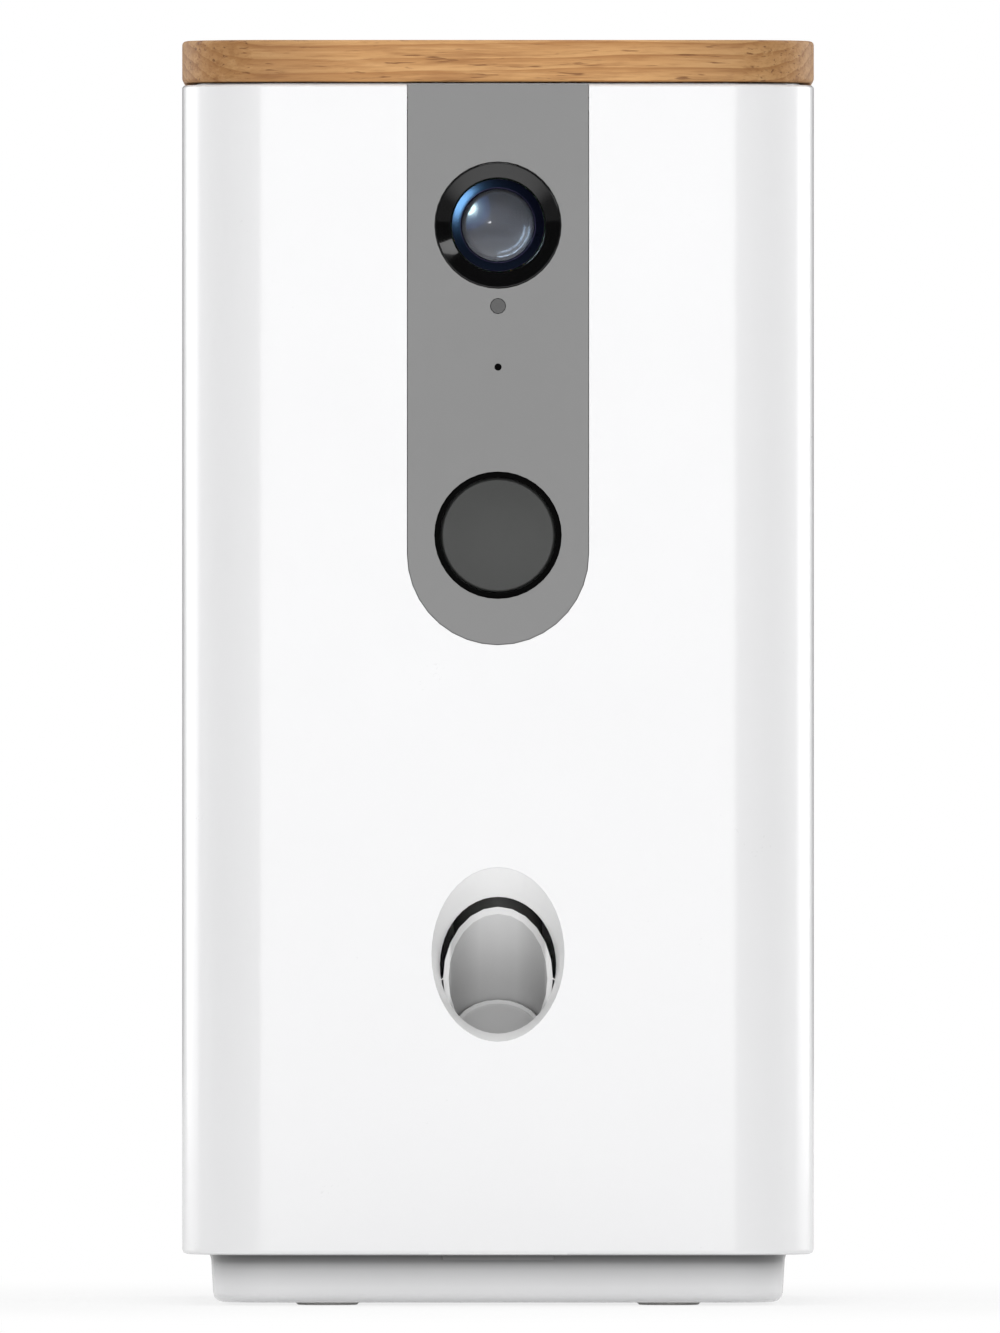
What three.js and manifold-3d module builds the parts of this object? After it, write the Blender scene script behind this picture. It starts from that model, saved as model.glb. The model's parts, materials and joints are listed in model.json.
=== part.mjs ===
// A treat tossing pet camera: a tall white housing on a plinth, with a wooden lid, a camera and a
// push button in a grey front panel, and a chute low in the front that tosses treats.
// Inside, a motor turns a wheel of pockets under the treat hopper. A treat drops from a pocket down
// a tube into the launch barrel, where a pinion draws a sprung plunger back and lets it go.
// Millimetres, +Z up, the front faces -Y, and the origin is on the floor under the middle.
import * as THREE from 'three';
import { mergeVertices } from 'three/addons/utils/BufferGeometryUtils.js';
import Module from 'manifold-3d';

const wasm = await Module();
wasm.setup();

// Angles and facet counts
const TURN = 2 * Math.PI;
const QUARTER = Math.PI / 2;
const CORNER_STEPS = 9;
const PLINTH_CORNER_STEPS = 5;
const INNER_CORNER_STEPS = 4;
const RING_FACETS = 40;
const ROUND_FACETS = 24;
const SMALL_FACETS = 12;
const PANEL_END_STEPS = 18;
const SCREW_FACETS = 8;
const EDGE_STEPS = 3; // round a small edge

// Clearances
const SEAT = 0.2; // between fixed pieces that rest on each other
const SLIP = 0.3; // round pieces that slide or turn
const OVERRUN = 2; // how far a cutting shape runs past the face it cuts
const WELD = 1e-3; // vertices closer than this are one

// Outer housing
const BODY_WIDTH = 137;
const BODY_DEPTH = 137;
const BODY_CORNER = 19;
const HOUSING_HEIGHT = 253.4;
const WALL = 2.5;
const HOUSING_LOW_EDGE = 1; // radius round the lower edge
const HOUSING_TOP_EDGE = 0.5;

// Plinth
const PLINTH_HEIGHT = 11; // floor to the housing's lower edge
const PLINTH_INSET = 6.3; // behind the housing's face
const PLINTH_DRAFT = 0.4; // how much the foot is smaller on each side
const PLINTH_EDGE = 2.2; // radius round the foot
const PLINTH_NECK = 1.7; // hollow radius under the housing
const PLINTH_WALL = 2.5;
const PLINTH_FLOOR = 2.5;
const PLINTH_FLANGE = 2;
const PLINTH_FLANGE_RISE = 0.5; // of the flange's underside above the housing's edge
const PLINTH_TAB_WIDTH = 24;
const PLINTH_TAB_HEIGHT = 1.6;
const PLINTH_TAB_REACH = 2;

// Feet and plinth screws
const FOOT_PROUD = 0.6;
const FOOT_RECESS = 1.2;
const FOOT_RADIUS = 7;
const FOOT_FROM_SCREW = 14; // centre to centre
const POST_INSET = 15; // from the housing's inside to a post's axis
const POST_RADIUS = 4.5;
const SCREW_HEAD_RADIUS = 3;
const SCREW_HEAD_HEIGHT = 1.8;
const SCREW_CROWN_SHARE = 0.7; // of a head's radius that is flat on top
const SCREW_SHANK_RADIUS = 1.4;
const SCREW_BITE = 10; // length in the piece that it holds
const SCREW_SLOT_WIDTH = 0.8;
const SCREW_SLOT_DEPTH = 0.8;
const PLINTH_BOSS_RADIUS = 5;

// Lid
const LID_REVEAL = 0.5; // shadow gap between housing and wood
const LID_HEIGHT = 9.1;
const LID_EDGE = 0.9;
const LINER_PLATE = 3;
const LINER_GAP = 0.6; // all round, inside the housing
const PLUG_DEPTH = 10;
const PLUG_WALL = 2;
const PLUG_GAP = 2; // between the plug and the hopper, filled by the seal
const SEAL_HEIGHT = 4.5;
const SEAL_LIP = 1.4;
const SEAL_WEB = 0.7;
const SEAL_DROP = 2.5; // from the liner's plate down to the seal
const LID_SCREW_INSET = 14; // from the plug's outside to a screw's axis
const LID_SCREW_BITE = 6;
const LID_SCREW_HEAD = 2.6;
const LID_SCREW_HEAD_HEIGHT = 1.4;
const LID_SCREW_SHANK = 1.1;

// Front panel, let into the housing from its top edge
const PANEL_WIDTH = 39.4;
const PANEL_ROUND_DROP = 101.7; // from the housing's top to the centre of its round lower end
const PANEL_GAP = 0.15;
const PANEL_LEDGE = 4; // how far its back flange reaches behind the housing
const PANEL_FLANGE = 1.5;
const PANEL_TOP_DROP = 5.9; // of the back flange below the housing's top
const PANEL_POST_X = 17;
const PANEL_POST_RADIUS = 2.2;

// Camera
const CAMERA_DROP = 30.5; // from the housing's top to the lens's axis
const BEZEL_RADIUS = 13.6;
const BEZEL_GAP = 0.2;
const BEZEL_BORE = 10.3;
const BEZEL_RIM = 0.2;
const BEZEL_DISH = 1.6; // depth of its hollow front
const INSERT_FLANGE_RADIUS = 15;
const INSERT_FLANGE = 1.5;
const LED_GROOVE_INNER = 10.9;
const LED_GROOVE_OUTER = 13.1;
const LED_GROOVE_DEPTH = 3.4;
const LED_RADIUS = 0.85;
const LED_LENGTH = 3;
const LED_COUNT = 6;
const LED_BOARD = 1.2;
const LENS_BARREL_RADIUS = 10;
const LENS_BARREL_RECESS = 1.9; // its front rim, behind the panel's face
const LENS_SEAT_RADIUS = 9.2;
const LENS_SEAT_DEPTH = 2;
const LENS_THROAT_DEPTH = 1.6; // from the front lens's seat to the inner lens's bore
const BAFFLE_COUNT = 2; // sloped rings between the lenses
const BAFFLE_WIDTH = 0.75;
const BAFFLE_PITCH = 1.35; // how much wider each ring is than the one behind it
const BAFFLE_FALL = 0.17; // from a ring's outer edge to its inner edge
const BAFFLE_STEP = 0.8; // from one ring to the next
const INNER_LENS_DEPTH = 3;
const RETAINER_BORE = 7.75;
const RETAINER_LIP = 0.35; // thickness at its bore
const RETAINER_CREST_RADIUS = 8.1;
const RETAINER_CREST = 0.95;
const RETAINER_SHOULDER_RADIUS = 8.9;
const RETAINER_SHOULDER = 0.72;
const RETAINER_EDGE = 0.15; // thickness at its outside
const FRONT_LENS_RADIUS = 8.95;
const FRONT_LENS_EDGE = 0.8;
const FRONT_LENS_DOME = 2.3;
const INNER_LENS_RADIUS = 4.95;
const INNER_LENS_EDGE = 0.7;
const INNER_LENS_DOME = 1.1;
const LENS_STEPS = 5;
const CAMERA_BOARD_DEPTH = 17.1; // behind the panel's face
const CAMERA_BOARD_SIDE = 40;
const CAMERA_POST_RISE = 17;
const BOARD_THICKNESS = 1.6;

// Light pipe and microphone
const LIGHT_PIPE_DROP = 17.5; // below the lens's axis
const LIGHT_PIPE_RADIUS = 1.6;
const LIGHT_PIPE_LENGTH = 8;
const LIGHT_PIPE_COLLAR = 2.2;
const LIGHT_PIPE_GAP = 0.15;
const MICROPHONE_DROP = 30.7; // below the lens's axis
const MICROPHONE_HOLE = 0.8;
const MICROPHONE_RADIUS = 3;
const MICROPHONE_DEPTH = 2.7;

// Push button
const BUTTON_DROP = 67.1; // below the lens's axis
const BUTTON_RING_RADIUS = 13.6;
const BUTTON_RING_BORE = 12.6;
const BUTTON_RADIUS = 12.35;
const BUTTON_EDGE = 0.4;
const BUTTON_SUNK = 0.3; // its rim, behind the panel's face
const BUTTON_DISH = 0.6;
const BUTTON_FLANGE_RADIUS = 13.4;
const BUTTON_FLANGE = 1.2;
const BUTTON_WELL_RADIUS = 10.8;
const BUTTON_CROWN = 2.3; // thickness of its face
const BUTTON_STEM_RADIUS = 2.5;
const BUTTON_TRAVEL = 1.2;
const BUTTON_BOARD_DEPTH = 13.1;
const BUTTON_BOARD_WIDTH = 40;
const BUTTON_BOARD_HEIGHT = 32;
const BUTTON_POST_RISE = 13;
const BUTTON_SPRING_RADIUS = 5.2;
const BUTTON_SPRING_WIRE = 0.4;
const BUTTON_SPRING_TURNS = 5;
const SWITCH_SIDE = 6;
const SWITCH_BODY = 2.2;
const SWITCH_NIB_RADIUS = 1.7;
const SWITCH_NIB = 0.8;
const SWITCH_GAP = 0.1; // left when the button is pressed home

// Chute mouth in the housing, a tapered hole that leans upwards
const CHUTE_MOUTH_HALF_WIDTH = 14.4;
const CHUTE_MOUTH_HALF_HEIGHT = 18.9;
const CHUTE_RISE = 2.4; // of the mouth's centre above the throat's
const CHUTE_THROAT_HALF_WIDTH = 12.6;
const CHUTE_THROAT_HALF_HEIGHT = 14.8;
const CHUTE_THROAT_HEIGHT = 73.7;
const CHUTE_DEPTH = 6.5;
const CHUTE_WALL = 1.8;
const CHUTE_FACETS = 48;

// Launch barrel, leaning up towards the front
const LAUNCH_TILT = THREE.MathUtils.degToRad(40);
const BARREL_BORE = 10.7;
const BARREL_WALL = 1.2;
const BARREL_GAP = 0.5; // between the chute and the barrel's mouth
const BARREL_DROP = 2.85; // from the chute throat's centre down to the bore's, at the mouth
const BARREL_LENGTH = 63.8; // from the mouth's centre to its rear end
const BARREL_LUG_RADIUS = 3.5;
const BARREL_LUG_FRONT = 12; // along the bore
const BARREL_LUG_INSET = 8.8; // from the barrel's rear end to its rear lug
const BARREL_CAP = 2.5;
const SPRING_PEG_RADIUS = 3.6;
const SPRING_PEG_LENGTH = 7;
const DROP_BORE = 8;
const DROP_WALL = 1.6;
const DROP_SETBACK = 30.5; // from the barrel's mouth back to the drop tube's axis
const DROP_COLLAR_HEIGHT = 24.7; // above the bore's axis
const DROP_LIP = 2.4;
const DROP_LIP_HEIGHT = 1.8;

// Plunger, its rack and the pinion that draws it back
const PLUNGER_REST = 19.3; // its face, along the bore from the mouth's centre
const PLUNGER_STROKE = 20;
const PLUNGER_BUFFER = 2; // left behind it at the end of its stroke
const PLUNGER_FACE_EDGE = 0.5;
const PLUNGER_DISH = 0.6; // depth of its hollow face
const PLUNGER_CROWN = 3.5;
const PLUNGER_POCKET = 7.6;
const RACK_WIDTH = 6;
const RACK_SLOT_GAP = 0.6;
const RACK_TAIL = 0.5; // behind its last tooth
const RACK_START = 1; // behind the plunger's face
const RACK_ROOT = 12.6; // below the bore's axis
const RACK_TEETH = 4;
const TOOTH_MODULE = 2;
const PRESSURE_ANGLE = THREE.MathUtils.degToRad(25);
const ADDENDUM = 1.4;
const DEDENDUM = 1.9;
const BACKLASH = 0.3;
const PINION_POSITIONS = 9; // tooth pitches round the pinion
const PINION_TEETH = 4; // the rest of the rim is bare, so that the rack runs free
const PINION_WIDTH = 7;
const PINION_PLACE = 41; // along the bore
const PINION_BARE_STEPS = 8;
const SHAFT_RADIUS = 2.7;
const LAUNCH_SPRING_RADIUS = 5.6;
const LAUNCH_SPRING_WIRE = 0.7;
const LAUNCH_SPRING_TURNS = 9;
const SPRING_STEPS = 8;
const SPRING_SIDES = 5;

// Frame that carries the barrel and the pinion
const FRAME_CLEARANCE = 1.3; // between the barrel and a cheek
const FRAME_CHEEK = 2;
const FRAME_PLATE = 2;
const FRAME_SETBACK = 9; // its front, behind the housing's inside
const FRAME_LENGTH = 47;
const FRAME_FLANGE = 5; // foot that stands out beside each cheek
const FRAME_LOW = 10.5;
const FRAME_STANDOFF_INSET = 4;
const STANDOFF_RADIUS = 3;
const FRAME_MARGIN = 6; // of cheek round a lug or the shaft

// Gearmotors
const GEARBOX_LENGTH = 37;
const GEARBOX_WIDTH = 22.5;
const GEARBOX_THICKNESS = 18.8;
const GEARBOX_CORNER = 4;
const GEARBOX_SHAFT_INSET = 11.3;
const GEARBOX_BORE_DEPTH = 9;
const MOTOR_RADIUS = 10;
const MOTOR_LENGTH = 26;
const MOTOR_NOSE_RADIUS = 4;
const MOTOR_NOSE = 2;

// Chassis deck under the treat wheel
const DECK_TOP = 118;
const DECK_THICKNESS = 3;
const DECK_GAP = 0.7; // all round, inside the housing
const DECK_SHAFT_HOLE = 4;
const DECK_CABLE_RADIUS = 6;
const DECK_CABLE_INSET = 10; // from the housing's inside to the hole's axis

// Treat wheel
const WHEEL_RADIUS = 40;
const WHEEL_THICKNESS = 14;
const WHEEL_POCKETS = 8;
const POCKET_CIRCLE = 28;
const POCKET_RADIUS = 8.5;
const POCKET_STEPS = 8;
const WHEEL_RIM_STEPS = 3;
const WHEEL_RISE = 0.6; // above the deck
const AGITATOR_RADIUS = 14;
const AGITATOR_HEIGHT = 14;
const AGITATOR_HUB = 7;
const AGITATOR_TIP = 3;
const AGITATOR_FINS = 3;
const AGITATOR_FIN = 2.4;
const AGITATOR_SHOULDER_SHARE = 1 / 3; // of its height, where a fin starts to slope

// Wheel cover and hopper
const COVER_GAP = 0.8; // above the wheel
const COVER_PLATE = 2;
const COVER_SKIRT = 1.8;
const COVER_SKIRT_GAP = 0.6;
const COVER_OPENING_RADIUS = 36.5;
const COVER_CHORD = 16; // of the opening's straight front edge, ahead of the wheel's centre
const WIPER_LENGTH = 56;
const WIPER_THICKNESS = 1.2;
const WIPER_HEIGHT = 5;
const HOPPER_SIDE_GAP = 8; // to the housing's inside
const HOPPER_SETBACK = 30; // its front, behind the housing's face
const HOPPER_REAR_GAP = 4; // to the housing's inside
const HOPPER_CORNER = 10;
const HOPPER_WALL = 1.8;
const FUNNEL_HEIGHT = 29.3; // from the foot up to where the walls are upright
const FUNNEL_FOOT = 3.2; // width of its lower edge, as seen from above
const HOPPER_FLANGE = 2.5;
const HOPPER_FLANGE_GAP = 0.4;

// Electronics at the rear
const BACK_GRILLE_HEIGHT = 54;
const GRILLE_RADIUS = 19.8;
const GRILLE_HOLE = 1.7;
const GRILLE_PITCH = 7;
const GRILLE_RINGS = 2;
const SPEAKER_RADIUS = 19;
const SPEAKER_DEPTH = 15;
const SPEAKER_MAGNET = 10;
const SPEAKER_MAGNET_DEPTH = 6;
const SPEAKER_RIM = 2;
const SPEAKER_CONE = 15.5;
const SPEAKER_CONE_DEPTH = 5;
const SPEAKER_DOME = 5;
const MAIN_BOARD_HALF_WIDTH = 42;
const MAIN_BOARD_LENGTH = 48;
const MAIN_BOARD_REAR_GAP = 6; // to the housing's inside
const MAIN_BOARD_HEIGHT = 16;
const MAIN_BOARD_INSET = 4; // from its front or rear edge to a standoff's axis
const MAIN_BOARD_STANDOFF_SHARE = 0.65; // of its half width, from the middle to a standoff
const MAIN_BOARD_POST_GAP = 2.5; // where it is notched round a post
const CHIP_SIDE = 12;
const CHIP_HEIGHT = 1.6;
const MODULE_WIDTH = 16;
const MODULE_LENGTH = 24;
const MODULE_HEIGHT = 3;
const JACK_WIDTH = 9;
const JACK_LENGTH = 12;
const JACK_HEIGHT = 11;
const JACK_NOSE_RADIUS = 4.4;
const JACK_BORE = 3.1;
const JACK_PIN = 1;
const JACK_BORE_DEPTH = 9.5;
const JACK_HOLE_GAP = 0.5;

// Heights and places that follow from the sizes above
const housingTop = PLINTH_HEIGHT + HOUSING_HEIGHT;
const faceY = -BODY_DEPTH / 2;
const innerWidth = BODY_WIDTH - 2 * WALL;
const innerDepth = BODY_DEPTH - 2 * WALL;
const innerFaceY = faceY + WALL;
const panelFlangeY = innerFaceY + SEAT / 2;
const panelBackY = panelFlangeY + PANEL_FLANGE;
const insertFlangeY = panelBackY + SEAT;
const insertBackY = insertFlangeY + INSERT_FLANGE;
const plinthTop = PLINTH_HEIGHT + PLINTH_FLANGE_RISE + PLINTH_FLANGE;
const plinthFloor = FOOT_PROUD + PLINTH_FLOOR;
const postX = innerWidth / 2 - POST_INSET;
const postY = innerDepth / 2 - POST_INSET;
const footX = postX - FOOT_FROM_SCREW;
const cameraHeight = housingTop - CAMERA_DROP;
const buttonHeight = cameraHeight - BUTTON_DROP;
const panelRoundHeight = housingTop - PANEL_ROUND_DROP;
const lidLow = housingTop + LID_REVEAL;
const linerTop = lidLow - SEAT;
const linerLow = linerTop - LINER_PLATE;
const hopperTop = linerLow - SLIP;
const hopperFrontY = faceY + HOPPER_SETBACK;
const hopperRearY = -innerFaceY - HOPPER_REAR_GAP;
const hopperMiddleY = (hopperFrontY + hopperRearY) / 2;
const hopperDepth = hopperRearY - hopperFrontY;
const hopperWidth = innerWidth - 2 * HOPPER_SIDE_GAP;
const hopperInnerWidth = hopperWidth - 2 * HOPPER_WALL;
const hopperInnerDepth = hopperDepth - 2 * HOPPER_WALL;
const hopperInnerCorner = HOPPER_CORNER - HOPPER_WALL;
const plugWidth = hopperInnerWidth - 2 * PLUG_GAP;
const plugDepth = hopperInnerDepth - 2 * PLUG_GAP;
const plugCorner = hopperInnerCorner - PLUG_GAP;
const barrelMouthY = faceY + CHUTE_DEPTH + BARREL_GAP;
const barrelMouthHeight = CHUTE_THROAT_HEIGHT - BARREL_DROP;
const barrelRadius = BARREL_BORE + BARREL_WALL;
const barrelLugRear = BARREL_LENGTH - BARREL_LUG_INSET;
const plungerLength = BARREL_LENGTH - PLUNGER_REST - PLUNGER_STROKE - PLUNGER_BUFFER;
const dropY = barrelMouthY + DROP_SETBACK;
const dropFoot = barrelMouthHeight - DROP_SETBACK * Math.tan(LAUNCH_TILT);
const dropCollarTop = dropFoot + DROP_COLLAR_HEIGHT;
const wheelY = dropY + POCKET_CIRCLE;
const deckLow = DECK_TOP - DECK_THICKNESS;
const wheelLow = DECK_TOP + WHEEL_RISE;
const wheelTop = wheelLow + WHEEL_THICKNESS;
const coverLow = wheelTop + COVER_GAP;
const coverTop = coverLow + COVER_PLATE;
const hopperLow = coverTop + SLIP;
const funnelKnee = hopperLow + FUNNEL_HEIGHT;
const frameInner = barrelRadius + FRAME_CLEARANCE; // half the gap between the cheeks
const frameOuter = frameInner + FRAME_CHEEK;
const frameFrontY = innerFaceY + FRAME_SETBACK;
const frameRearY = frameFrontY + FRAME_LENGTH;
const pitchLine = RACK_ROOT + DEDENDUM; // below the bore's axis
const pinionRadius = TOOTH_MODULE * PINION_POSITIONS / 2;
const pinionDrop = pitchLine + pinionRadius;
const speakerBackY = -innerFaceY - SEAT;
const boardRearY = -innerFaceY - MAIN_BOARD_REAR_GAP;
const boardFrontY = boardRearY - MAIN_BOARD_LENGTH;
const jackHeight = MAIN_BOARD_HEIGHT + BOARD_THICKNESS + SEAT + JACK_HEIGHT / 2;

// A point of the launch barrel's frame (along the bore, above it) as world y and z.
function launchPoint(along, above) {
  return [
    barrelMouthY + along * Math.cos(LAUNCH_TILT) + above * Math.sin(LAUNCH_TILT),
    barrelMouthHeight - along * Math.sin(LAUNCH_TILT) + above * Math.cos(LAUNCH_TILT),
  ];
}
const [pinionY, pinionZ] = launchPoint(PINION_PLACE, -pinionDrop);

// Materials
function finish(color, roughness, metalness = 0, extra = {}) {
  return new THREE.MeshStandardMaterial({ color, roughness, metalness, ...extra });
}
const MATERIALS = {
  white: finish(0xf6f6f6, 0.3),
  wood: finish(0xb98f63, 0.6),
  panel: finish(0x8f8f8f, 0.5),
  black: finish(0x0b0b0c, 0.15),
  mattBlack: finish(0x141415, 0.6),
  button: finish(0x555655, 0.4),
  chute: finish(0xa8a8a8, 0.45),
  glass: finish(0x3a4066, 0.02, 0, { transparent: true, opacity: 0.5 }),
  smoke: finish(0x5c5c5c, 0.2),
  silicone: finish(0xd8d8d6, 0.7),
  rubber: finish(0x2b2b2b, 0.9),
  paleRubber: finish(0xe6e4e0, 0.9),
  steel: finish(0xb8babd, 0.3, 1),
  board: finish(0x1f5a3a, 0.6),
  nylon: finish(0xe9e4d6, 0.5),
  motor: finish(0xc9c9cc, 0.35, 0.9),
};

// Outlines are lists of points that run counter-clockwise.
function arc(radius, from, to, steps, x = 0, y = 0) {
  return Array.from({ length: steps + 1 }, (_, i) => {
    const angle = from + (to - from) * i / steps;
    return new THREE.Vector2(x + radius * Math.cos(angle), y + radius * Math.sin(angle));
  });
}

function circle(radius, facets, x = 0, y = 0) {
  return arc(radius, 0, TURN, facets, x, y).slice(0, facets);
}

function ellipse(halfWidth, halfHeight, facets, x, y) {
  return circle(1, facets).map((p) => new THREE.Vector2(x + p.x * halfWidth, y + p.y * halfHeight));
}

function roundedRectangle(width, depth, radius, x = 0, y = 0, steps = CORNER_STEPS) {
  const right = width / 2 - radius;
  const back = depth / 2 - radius;
  return [
    ...arc(radius, 0, QUARTER, steps, x + right, y + back),
    ...arc(radius, QUARTER, 2 * QUARTER, steps, x - right, y + back),
    ...arc(radius, 2 * QUARTER, 3 * QUARTER, steps, x - right, y - back),
    ...arc(radius, 3 * QUARTER, TURN, steps, x + right, y - back),
  ];
}

function rectangle(width, height, x = 0, y = 0) {
  return [[1, 1], [-1, 1], [-1, -1], [1, -1]].map(([sideX, sideY]) => (
    new THREE.Vector2(x + sideX * width / 2, y + sideY * height / 2)
  ));
}

// A slot that is round below and open above: the outline of the front panel.
function tongue(width, roundHeight, top, steps = PANEL_END_STEPS) {
  return [
    new THREE.Vector2(-width / 2, top),
    ...arc(width / 2, 2 * QUARTER, TURN, steps, 0, roundHeight),
    new THREE.Vector2(width / 2, top),
  ];
}

// The body's square outline with its face moved in by the given distance.
function bodyOutline(inset, steps = CORNER_STEPS) {
  const width = BODY_WIDTH - 2 * inset;
  const depth = BODY_DEPTH - 2 * inset;
  return roundedRectangle(width, depth, BODY_CORNER - inset, 0, 0, steps);
}

// The same outline as the housing has inside, moved in by a clearance.
function insideOutline(inset, steps = INNER_CORNER_STEPS) {
  return bodyOutline(WALL + inset, steps);
}

// Straight pieces, extruded up, or away from the front, or to the right.
function prism(outline, low, high, holes = []) {
  const shape = new THREE.Shape(outline);
  holes.forEach((hole) => shape.holes.push(new THREE.Path(hole)));
  const options = { depth: high - low, bevelEnabled: false, curveSegments: 1 };
  return new THREE.ExtrudeGeometry(shape, options).translate(0, 0, low);
}

function prismAlongY(outline, near, far, holes = []) {
  return prism(outline, -far, -near, holes).rotateX(QUARTER);
}

function prismAlongX(outline, left, right, holes = []) {
  return prism(outline, left, right, holes).rotateX(QUARTER).rotateZ(QUARTER);
}

// A box between two corners.
function box(low, high) {
  const size = high.map((value, i) => value - low[i]);
  const middle = high.map((value, i) => (value + low[i]) / 2);
  return new THREE.BoxGeometry(...size).translate(...middle);
}

// Turned pieces. The profile is a list of [radius, place along the axis], counter-clockwise.
function turnedAlongY(profile, facets) {
  return new THREE.LatheGeometry(profile.map(([r, y]) => new THREE.Vector2(r, y)), facets);
}

function turned(profile, facets) {
  return turnedAlongY(profile, facets).rotateX(QUARTER);
}

// A closed skin through outlines of as many points each, stacked along z.
function loft(rings) {
  const count = rings[0].outline.length;
  const last = (rings.length - 1) * count;
  const positions = rings.flatMap(({ outline, z }) => outline.flatMap((p) => [p.x, p.y, z]));
  const index = [];
  for (let start = 0; start < last; start += count) {
    for (let i = 0; i < count; i++) {
      const a = start + i;
      const b = start + (i + 1) % count;
      index.push(a, b, b + count, a, b + count, a + count);
    }
  }
  for (const [a, b, c] of THREE.ShapeUtils.triangulateShape(rings[0].outline, [])) {
    index.push(a, c, b);
  }
  for (const [a, b, c] of THREE.ShapeUtils.triangulateShape(rings.at(-1).outline, [])) {
    index.push(last + a, last + b, last + c);
  }
  const geometry = new THREE.BufferGeometry();
  geometry.setAttribute('position', new THREE.Float32BufferAttribute(positions, 3));
  return geometry.setIndex(index);
}

// The least gap between turns of a coil's wire, measured between points of its centre line.
function coilGap(points, wire) {
  let least = Infinity;
  points.forEach((point, i) => {
    for (let j = i + SPRING_STEPS / 2; j < points.length; j++) {
      least = Math.min(least, point.distanceTo(points[j]));
    }
  });
  return least - 2 * wire;
}

// A coil spring along z, one unbroken wire.
function coil(name, radius, wire, low, high, turns) {
  const steps = turns * SPRING_STEPS;
  const rise = (high - low - 2 * wire) / steps;
  const slope = Math.atan2(rise * SPRING_STEPS, TURN * radius);
  const line = Array.from({ length: steps + 1 }, (_, i) => {
    const angle = TURN * i / SPRING_STEPS;
    return new THREE.Vector3(radius * Math.cos(angle), radius * Math.sin(angle), low + wire + rise * i);
  });
  console.log(`${name}: least gap between turns ${coilGap(line, wire).toFixed(2)} mm`);
  const positions = line.flatMap((centre, i) => {
    const angle = TURN * i / SPRING_STEPS;
    const outward = new THREE.Vector3(Math.cos(angle), Math.sin(angle), 0);
    const upward = new THREE.Vector3(
      Math.sin(slope) * Math.sin(angle),
      -Math.sin(slope) * Math.cos(angle),
      Math.cos(slope),
    );
    return Array.from({ length: SPRING_SIDES }, (_, side) => {
      const around = TURN * side / SPRING_SIDES;
      return centre.clone()
        .addScaledVector(outward, wire * Math.cos(around))
        .addScaledVector(upward, wire * Math.sin(around))
        .toArray();
    }).flat();
  });
  const index = [];
  for (let i = 0; i < steps; i++) {
    for (let side = 0; side < SPRING_SIDES; side++) {
      const a = i * SPRING_SIDES + side;
      const b = i * SPRING_SIDES + (side + 1) % SPRING_SIDES;
      index.push(a, b + SPRING_SIDES, b, a, a + SPRING_SIDES, b + SPRING_SIDES);
    }
  }
  const end = steps * SPRING_SIDES;
  for (let side = 1; side < SPRING_SIDES - 1; side++) {
    index.push(0, side, side + 1, end, end + side + 1, end + side);
  }
  const geometry = new THREE.BufferGeometry();
  geometry.setAttribute('position', new THREE.Float32BufferAttribute(positions, 3));
  return geometry.setIndex(index);
}

// A geometry as a manifold-3d solid, and back.
function solid(geometry) {
  const bare = geometry.clone();
  bare.deleteAttribute('normal');
  bare.deleteAttribute('uv');
  const merged = mergeVertices(bare, WELD);
  const triVerts = [];
  for (let i = 0; i < merged.index.count; i += 3) {
    const [a, b, c] = [0, 1, 2].map((k) => merged.index.getX(i + k));
    if (a !== b && b !== c && c !== a) triVerts.push(a, b, c);
  }
  return new wasm.Manifold(new wasm.Mesh({
    numProp: 3,
    vertProperties: new Float32Array(merged.attributes.position.array),
    triVerts: new Uint32Array(triVerts),
  }));
}

function geometryOf(manifold) {
  const { numProp, vertProperties, triVerts } = manifold.getMesh();
  const positions = new Float32Array(vertProperties.length / numProp * 3);
  for (let i = 0; i < positions.length / 3; i++) {
    positions.set(vertProperties.subarray(i * numProp, i * numProp + 3), i * 3);
  }
  const geometry = new THREE.BufferGeometry();
  geometry.setAttribute('position', new THREE.BufferAttribute(positions, 3));
  geometry.setIndex(new THREE.BufferAttribute(new Uint32Array(triVerts), 1));
  return geometry.toNonIndexed();
}

function join(...geometries) {
  return geometryOf(geometries.map(solid).reduce((sum, next) => sum.add(next)));
}

function cut(geometry, ...tools) {
  return geometryOf(tools.map(solid).reduce((rest, tool) => rest.subtract(tool), solid(geometry)));
}

const device = new THREE.Group();
const launcher = new THREE.Group(); // +y runs down the bore, away from the mouth
launcher.position.set(0, barrelMouthY, barrelMouthHeight);
launcher.rotation.x = -LAUNCH_TILT;
device.add(launcher);

function piece(name, geometry, material, parent = device) {
  const mesh = new THREE.Mesh(geometry, material.clone());
  geometry.computeVertexNormals();
  mesh.name = name;
  parent.add(mesh);
  return mesh;
}

// A pan-head screw that points up from the underside of its head.
function screw(headRadius, headHeight, shankRadius, length) {
  const body = turned([
    [0, -headHeight],
    [headRadius * SCREW_CROWN_SHARE, -headHeight],
    [headRadius, -headHeight / 2],
    [headRadius, 0],
    [shankRadius, 0],
    [shankRadius, length - shankRadius],
    [0, length],
  ], SCREW_FACETS);
  const slot = box(
    [-headRadius - OVERRUN, -SCREW_SLOT_WIDTH / 2, -headHeight - OVERRUN],
    [headRadius + OVERRUN, SCREW_SLOT_WIDTH / 2, -headHeight + SCREW_SLOT_DEPTH],
  );
  return cut(body, slot);
}

const CORNERS = [
  ['front_left', -1, -1],
  ['front_right', 1, -1],
  ['rear_left', -1, 1],
  ['rear_right', 1, 1],
];

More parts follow.
